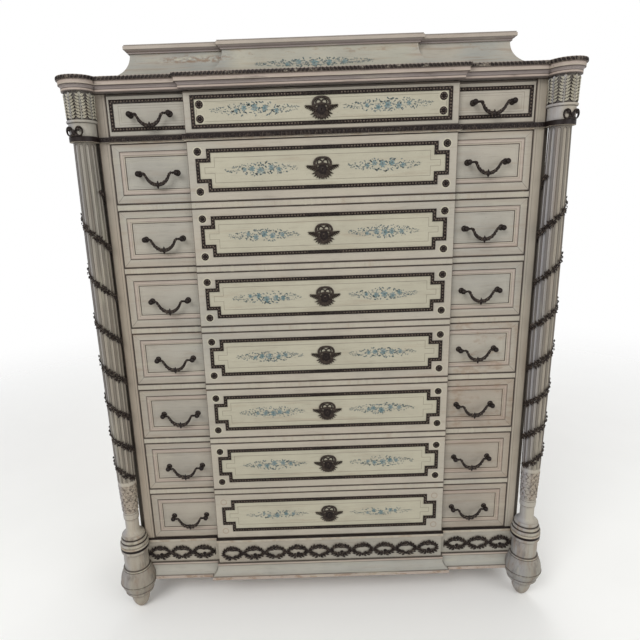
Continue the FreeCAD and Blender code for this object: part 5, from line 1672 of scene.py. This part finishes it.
class CHEST_OT_mounts(bpy.types.Operator):
    """Bronze of every drawer: beaded strips, rosettes, escutcheon, posts and lock"""

    bl_idname = "chest.mounts"
    bl_label = "Drawer mounts"

    def execute(self, context):
        sizes = context.scene.chest_sizes
        metal = old_bronze("mount_bronze", context.scene.chest_colours, mount_highlights)
        for row in ROWS:
            low, high = drawer_span(row)
            middle = (low + high) / 2
            shape = Shape()
            if row == 1:
                ring = notched(BREAK_HALF - 15.9 * MM, low + 9.9 * MM, high - 9.9 * MM, 0, 0)
                pull = BREAK_HALF + FRIEZE_PULL_ASIDE
                side_strips(shape, low + 11.4 * MM, high - 11.4 * MM, sizes.bead_pitch)
            else:
                ring = notched(BREAK_HALF - 18.9 * MM, low + 21.4 * MM, high - 17.9 * MM,
                               NOTCH_WIDE, NOTCH_HIGH)
                pull = BREAK_HALF + PULL_ASIDE
            strip(shape, ring, CENTRE_FACE, sizes.strip_width)
            beads(shape, ring(sizes.strip_width / 2), CENTRE_FACE, sizes.bead_pitch)
            if row < 8:
                aside, *levels = rosette_places(row)
                for level in reversed(levels):
                    for sign in (-1, 1):
                        rosette(shape, Vector((sign * aside, CENTRE_FACE, level)),
                                sizes.rosette_radius, 4.2 * MM)
            escutcheon(shape, 0.0, middle, CENTRE_FACE)
            for sign in (-1, 1):
                for end in (-1, 1):
                    post(shape, sign * pull + end * POST_HALF, middle)
            lock_case(shape, middle)
            name = f"drawer_{row}_bronze"
            place_piece(name, shape.mesh(name), metal, f"drawer_{row}",
                        [f"drawer_{row}_mounts"])
        return {"FINISHED"}


def eased(points, steps):
    """A smooth run through points of any number of values, its ends included."""
    run = [points[0]]
    padded = [points[0]] + list(points) + [points[-1]]
    for a, b, c, d in zip(padded, padded[1:], padded[2:], padded[3:]):
        for k in range(1, steps + 1):
            t = k / steps
            run.append(tuple(
                0.5 * (2 * q + (r - p) * t + (2 * p - 5 * q + 4 * r - u) * t * t +
                       (3 * q - p - 3 * r + u) * t * t * t)
                for p, q, r, u in zip(a, b, c, d)))
    return run


def bail_shape():
    """Swan-neck bail about the middle of its pivot line, with a leaf bud at its lowest point."""
    shape = Shape()
    drop = 27.0
    ends = [(-43.0, 0.0, 1.25), (-39.8, 0.0, 1.25), (-39.4, 0.0, 2.6), (-38.2, 0.0, 3.3),
            (-37.0, 0.0, 2.6), (-36.2, 0.1, 2.2)]
    bends = [(-36.2, 0.1, 2.2), (-33.5, 0.2, 3.1), (-30.6, -2.2, 3.0), (-27.0, -8.2, 3.1),
             (-22.6, -15.6, 3.7), (-15.5, -22.0, 4.3), (-7.5, -25.8, 4.4), (0.0, -drop, 4.4)]
    line = ends + eased(bends, 5)[1:]
    line += [(-x, z, r) for x, z, r in reversed(line[:-1])]
    path = [Vector((x * MM, 0, z * MM)) for x, z, r in line]
    shape.tube(path, [r * MM for x, z, r in line], sides=14, flat=0.86)
    low = Vector((0, 0, -drop * MM))
    spindle = [(0.3, -9.6), (1.6, -7.6), (2.6, -5.6), (3.0, -4.2), (5.0, -1.5), (5.2, 1.5),
               (3.2, 4.0), (2.6, 5.2), (1.7, 7.4), (0.3, 9.8)]
    shape.turned([(r * MM, far * MM) for r, far in spindle], low, UP, sides=12)
    for sign in (-1, 1):
        for tilt, size, wide in ((0.0, 13, 6.0), (0.36, 9, 4.6), (-0.36, 9, 4.6)):
            along = Vector((sign, 0, 0.18 + tilt)).normalized()
            for face in (OUT, -OUT):
                shape.leaf(low + face * 3.2 * MM + along * 1.5 * MM, along, face, size * MM,
                           wide * MM, lift=0.9 * MM, thick=1.3 * MM)
    for k in range(len(ends) + 2, len(line) - len(ends) - 2, 5):
        x, z, r = line[k]
        ahead = line[k + 3] if x < 0 else line[k - 3]
        along = Vector((ahead[0] - x, 0, ahead[1] - z)).normalized()
        if abs(x) > 9:
            shape.leaf(Vector((x * MM, -0.8 * r * MM, z * MM)), along, OUT, 9 * MM, 2.2 * r * MM,
                       lift=0.8 * MM, thick=1.3 * MM)
    return shape


class CHEST_OT_bails(bpy.types.Operator):
    """Sixteen swan-neck bail pulls, each hanging on its pair of posts"""

    bl_idname = "chest.bails"
    bl_label = "Bail pulls"

    def execute(self, context):
        mesh = bail_shape().mesh("bail_pull", 45)
        bronze = shared_bronze(context.scene.chest_colours)
        for row in ROWS:
            for side in ("left", "right"):
                node = f"drawer_{row}_bail_{side}"
                low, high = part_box(node)
                spot = Vector(((low.x + high.x) / 2, (low.y + high.y) / 2,
                               sum(drawer_span(row)) / 2))
                place_piece(f"{node}_cast", mesh, bronze, node, [node], spot)
        return {"FINISHED"}


# ---------------------------------------------------------------- painted sprays
FILM = 0.16 * MM                        # how thick a dab of paint is


def dab(shape, x, z, size, turn, stretch, surface, dice):
    """One dab of the brush, a seven-sided film on the paint."""
    outline = []
    for a in angles(7):
        reach = size * (1 + dice.uniform(-0.18, 0.18))
        u = reach * math.cos(a) * stretch
        v = reach * math.sin(a)
        outline.append(surface(x + u * math.cos(turn) - v * math.sin(turn),
                               z + u * math.sin(turn) + v * math.cos(turn)))
    shape.plate(outline, Vector((0, FILM, 0)))


def lifted(surface, high):
    """The same surface a little further out."""
    return lambda x, z: surface(x, z) + OUT * high


def flower(shape, blossoms, x, z, size, surface, dice):
    """Five petals, small leaves round them and a dark eye."""
    start = dice.random()
    for count, far, share, stretch, dabs, ground in (
            (5, 0.95, 0.6, 1.2, blossoms, lifted(surface, 0.1 * MM)),
            (7, 1.6, 0.22, 2.0, shape, surface)):
        for k in range(count):
            a = 2 * math.pi * (k + start) / count
            dab(dabs, x + size * far * math.cos(a), z + size * far * math.sin(a), size * share, a,
                stretch, ground, dice)
    dab(shape, x, z, size * 0.42, 0.0, 1.0, lifted(surface, 0.2 * MM), dice)


STEM_DABS = 26
FLOWERS = ((0.5, 5.0), (0.38, 4.0), (0.63, 4.3), (0.27, 3.0), (0.75, 3.6))  # share of span, size


def spray(shape, blossoms, x0, x1, level, high, surface, dice, dense=1.0):
    """A trailing spray: blossoms in the middle, leaves thinning out to both ends."""
    span = x1 - x0
    for k in range(STEM_DABS):
        share = k / (STEM_DABS - 1)
        z = level + high * 0.10 * math.sin(share * 13 + x0 * 40)
        dab(shape, x0 + span * share, z, 0.55 * MM, math.atan2(0.10 * math.cos(share * 13), 1),
            span / STEM_DABS / (1.1 * MM), surface, dice)
    leaves = int(span / MM * 0.72 * dense)
    for k in range(leaves):
        share = (k + dice.random()) / leaves
        mass = math.sin(math.pi * min(max(share, 0.02), 0.98)) ** 1.2
        reach = high / 2 * (0.25 + 0.75 * mass)
        side = dice.choice((-1, 1))
        z = level + side * reach * dice.random() ** 0.8
        size = dice.uniform(0.8, 1.6) * MM * (0.7 + 0.5 * mass)
        dab(shape, x0 + span * share, z, size, dice.uniform(-1.2, 1.2), dice.uniform(1.5, 2.4),
            surface, dice)
    for share, petal in FLOWERS:
        x = x0 + span * (share + dice.uniform(-0.02, 0.02))
        z = level + dice.uniform(-0.16, 0.16) * high
        flower(shape, blossoms, x, z, petal * MM * min(dense, 1.0) ** 0.3, surface, dice)


def flat_face(face):
    """The flat front of a drawer, where a dab lies on it."""
    return lambda x, z: Vector((x, face - FILM, z))


def cove_face(x, z):
    """The curved face of the crown's middle, from its foot to its top."""
    foot, top, flare, set_back = 3 * MM, 53.5 * MM, 27 * MM, 13 * MM
    drop = top - foot
    radius = (drop * drop + flare * flare) / (2 * flare)
    below = min(max(top - (z - TOP_TOP), 0.0), drop)
    out = radius - math.sqrt(radius * radius - below * below)
    return Vector((x, PANEL_FACE + set_back - BREAK_OUT - out - 0.4 * MM, z))


class CHEST_OT_sprays(bpy.types.Operator):
    """Painted sprays on the drawer centres and the crown"""

    bl_idname = "chest.sprays"
    bl_label = "Painted sprays"

    def execute(self, context):
        height = context.scene.chest_sizes.spray_height
        tints = context.scene.chest_colours
        paints = [spray_paint(name, tints, tone)
                  for name, tone in (("paint_spray", 0.45), ("paint_blossom", 1.05))]
        for row in ROWS:
            dice = random.Random(100 + row)
            parts = (Shape(), Shape())
            inner, outer = (54 * MM, 262 * MM) if row == 1 else (62 * MM, 236 * MM)
            tall, dense = (0.8, 0.6) if row == 8 else (1.0, 1.0)
            level = sum(drawer_span(row)) / 2 + 2 * MM
            for start, end in ((-outer, -inner), (inner, outer)):
                spray(*parts, start, end, level, height * tall, flat_face(CENTRE_FACE), dice, dense)
            self.place(f"drawer_{row}", f"drawer_{row}", parts, paints)
        parts = (Shape(), Shape())
        spray(*parts, -150 * MM, 120 * MM, TOP_TOP + 17 * MM, 24 * MM, cove_face, random.Random(77))
        self.place("crown", "carcass", parts, paints)
        return {"FINISHED"}

    @staticmethod
    def place(start, body, parts, paints):
        """Put the leaves and the blossoms of one spray in the scene."""
        for part, shape, paint in zip(("spray", "blossoms"), parts, paints):
            name = f"{start}_{part}"
            place_piece(name, shape.mesh(name), paint, body)


# ---------------------------------------------------------------- stage
CAMERA_PLACE = Vector((-0.07885, -1.52855, 1.15603))
CAMERA_PITCH = 14.17
CAMERA_YAW = -0.23
CAMERA_ROLL = -2.00
CAMERA_LENS = 29.025                    # millimetres, for a sensor 36 wide
CAMERA_SHIFT = (0.0413, 0.0183)
FLOOR_R = 4.2
LAMPS = (                               # name, place, what it looks at, size, watts
    ("key_softbox", (-1.9, -3.2, 3.2), (0, 0, 0.8), 2.0, 98),
    ("fill_softbox", (2.6, -2.8, 1.7), (0, 0, 0.7), 2.4, 46),
    ("back_softbox", (0.6, 3.2, 2.8), (0, 0, 0.8), 2.4, 52),
)


class CHEST_OT_stage(bpy.types.Operator):
    """Pale floor, soft studio light and the camera"""

    bl_idname = "chest.stage"
    bl_label = "Floor, light and camera"

    def execute(self, context):
        scene = context.scene
        tints = scene.chest_colours
        scene.view_settings.view_transform = "Standard"
        self.floor(scene, tints)
        self.world(scene)
        for lamp in LAMPS:
            self.lamp(scene, *lamp)
        self.camera(scene)
        return {"FINISHED"}

    @staticmethod
    def floor(scene, tints):
        """A round floor that fades out towards its edge."""
        shape = Shape()
        shape.add([(FLOOR_R * math.cos(a), FLOOR_R * math.sin(a), 0) for a in angles(96)],
                  [range(96)])
        mesh = shape.mesh("floor")
        material, place, shader = start_material("floor_finish")
        tree = material.node_tree
        feed(shader, Base_Color=place.blend(tints.floor, tints.cool, place.noise(3, 3) * 0.06),
             Roughness=0.85)
        distance = place.node("ShaderNodeVectorMath", {"operation": "LENGTH"}, {0: place},
                              output="Value")
        fade = distance.between(1.1, 3.9)
        clear = tree.nodes.new("ShaderNodeBsdfTransparent")
        blend = tree.nodes.new("ShaderNodeMixShader")
        tree.links.new(fade.socket, blend.inputs[0])
        tree.links.new(shader.outputs[0], blend.inputs[1])
        tree.links.new(clear.outputs[0], blend.inputs[2])
        tree.links.new(blend.outputs[0], tree.nodes["Material Output"].inputs[0])
        mesh.materials.append(material)
        item = bpy.data.objects.new("floor", mesh)
        scene.collection.objects.link(item)

    @staticmethod
    def world(scene):
        """Soft grey light all round, seen and mirrored as white."""
        world = bpy.data.worlds.new("studio")
        world.use_nodes = True
        scene.world = world
        tree = world.node_tree
        camera = Shade(tree).node("ShaderNodeLightPath")
        glossy = Shade(tree, camera.socket.node.outputs["Is Glossy Ray"])
        through = Shade(tree, camera.socket.node.outputs["Is Transmission Ray"])
        plain = camera.most(glossy * 0.75).most(through)
        background = tree.nodes["Background"]
        background.inputs["Color"].default_value = (1.0, 1.0, 1.0, 1.0)
        strength = 0.53 + plain * 0.47
        tree.links.new(strength.socket, background.inputs["Strength"])

    @staticmethod
    def lamp(scene, name, place, target, size, watts):
        """A square softbox turned to what it lights."""
        light = bpy.data.lights.new(name, "AREA")
        light.shape = "SQUARE"
        light.size = size
        light.energy = watts
        item = bpy.data.objects.new(name, light)
        item.location = place
        item.rotation_euler = (Vector(target) - Vector(place)).to_track_quat("-Z", "Y").to_euler()
        scene.collection.objects.link(item)

    @staticmethod
    def camera(scene):
        """The camera, turned by its pitch, yaw and roll."""
        pitch, yaw, roll = (math.radians(a) for a in (CAMERA_PITCH, CAMERA_YAW, CAMERA_ROLL))
        ahead = Vector((math.sin(yaw) * math.cos(pitch), math.cos(yaw) * math.cos(pitch),
                        -math.sin(pitch)))
        right = Vector((math.cos(yaw), -math.sin(yaw), 0))
        up = right.cross(ahead)
        level = right * math.cos(roll) + up * math.sin(roll)
        rise = up * math.cos(roll) - right * math.sin(roll)
        data = bpy.data.cameras.new("camera")
        data.sensor_width = 36
        data.lens = CAMERA_LENS
        data.shift_x, data.shift_y = CAMERA_SHIFT
        item = bpy.data.objects.new("camera", data)
        item.matrix_world = Matrix.Translation(CAMERA_PLACE) @ Matrix(
            (level, rise, -ahead)).transposed().to_4x4()
        scene.collection.objects.link(item)
        scene.camera = item


class CHEST_PT_panel(bpy.types.Panel):
    """Lists the steps that dress the chest"""

    bl_idname = "CHEST_PT_panel"
    bl_label = "Painted tall chest"
    bl_space_type = "VIEW_3D"
    bl_region_type = "UI"
    bl_category = "Chest"

    def draw(self, context):
        for step in STEPS:
            self.layout.operator(step.bl_idname)


STEPS = (
    CHEST_OT_stage,
    CHEST_OT_case,
    CHEST_OT_feet,
    CHEST_OT_drawers,
    CHEST_OT_shafts,
    CHEST_OT_capitals,
    CHEST_OT_garlands,
    CHEST_OT_bows,
    CHEST_OT_bands,
    CHEST_OT_cornice_edge,
    CHEST_OT_wreaths,
    CHEST_OT_mounts,
    CHEST_OT_bails,
    CHEST_OT_sprays,
)
CLASSES = (ChestColours, ChestSizes) + STEPS + (CHEST_PT_panel,)


def register():
    for item in CLASSES:
        bpy.utils.register_class(item)
    bpy.types.Scene.chest_colours = bpy.props.PointerProperty(type=ChestColours)
    bpy.types.Scene.chest_sizes = bpy.props.PointerProperty(type=ChestSizes)


def unregister():
    del bpy.types.Scene.chest_sizes
    del bpy.types.Scene.chest_colours
    for item in reversed(CLASSES):
        bpy.utils.unregister_class(item)


def main():
    register()
    for step in STEPS:
        getattr(bpy.ops.chest, step.bl_idname.split(".")[1])()


if __name__ == "__main__":
    main()
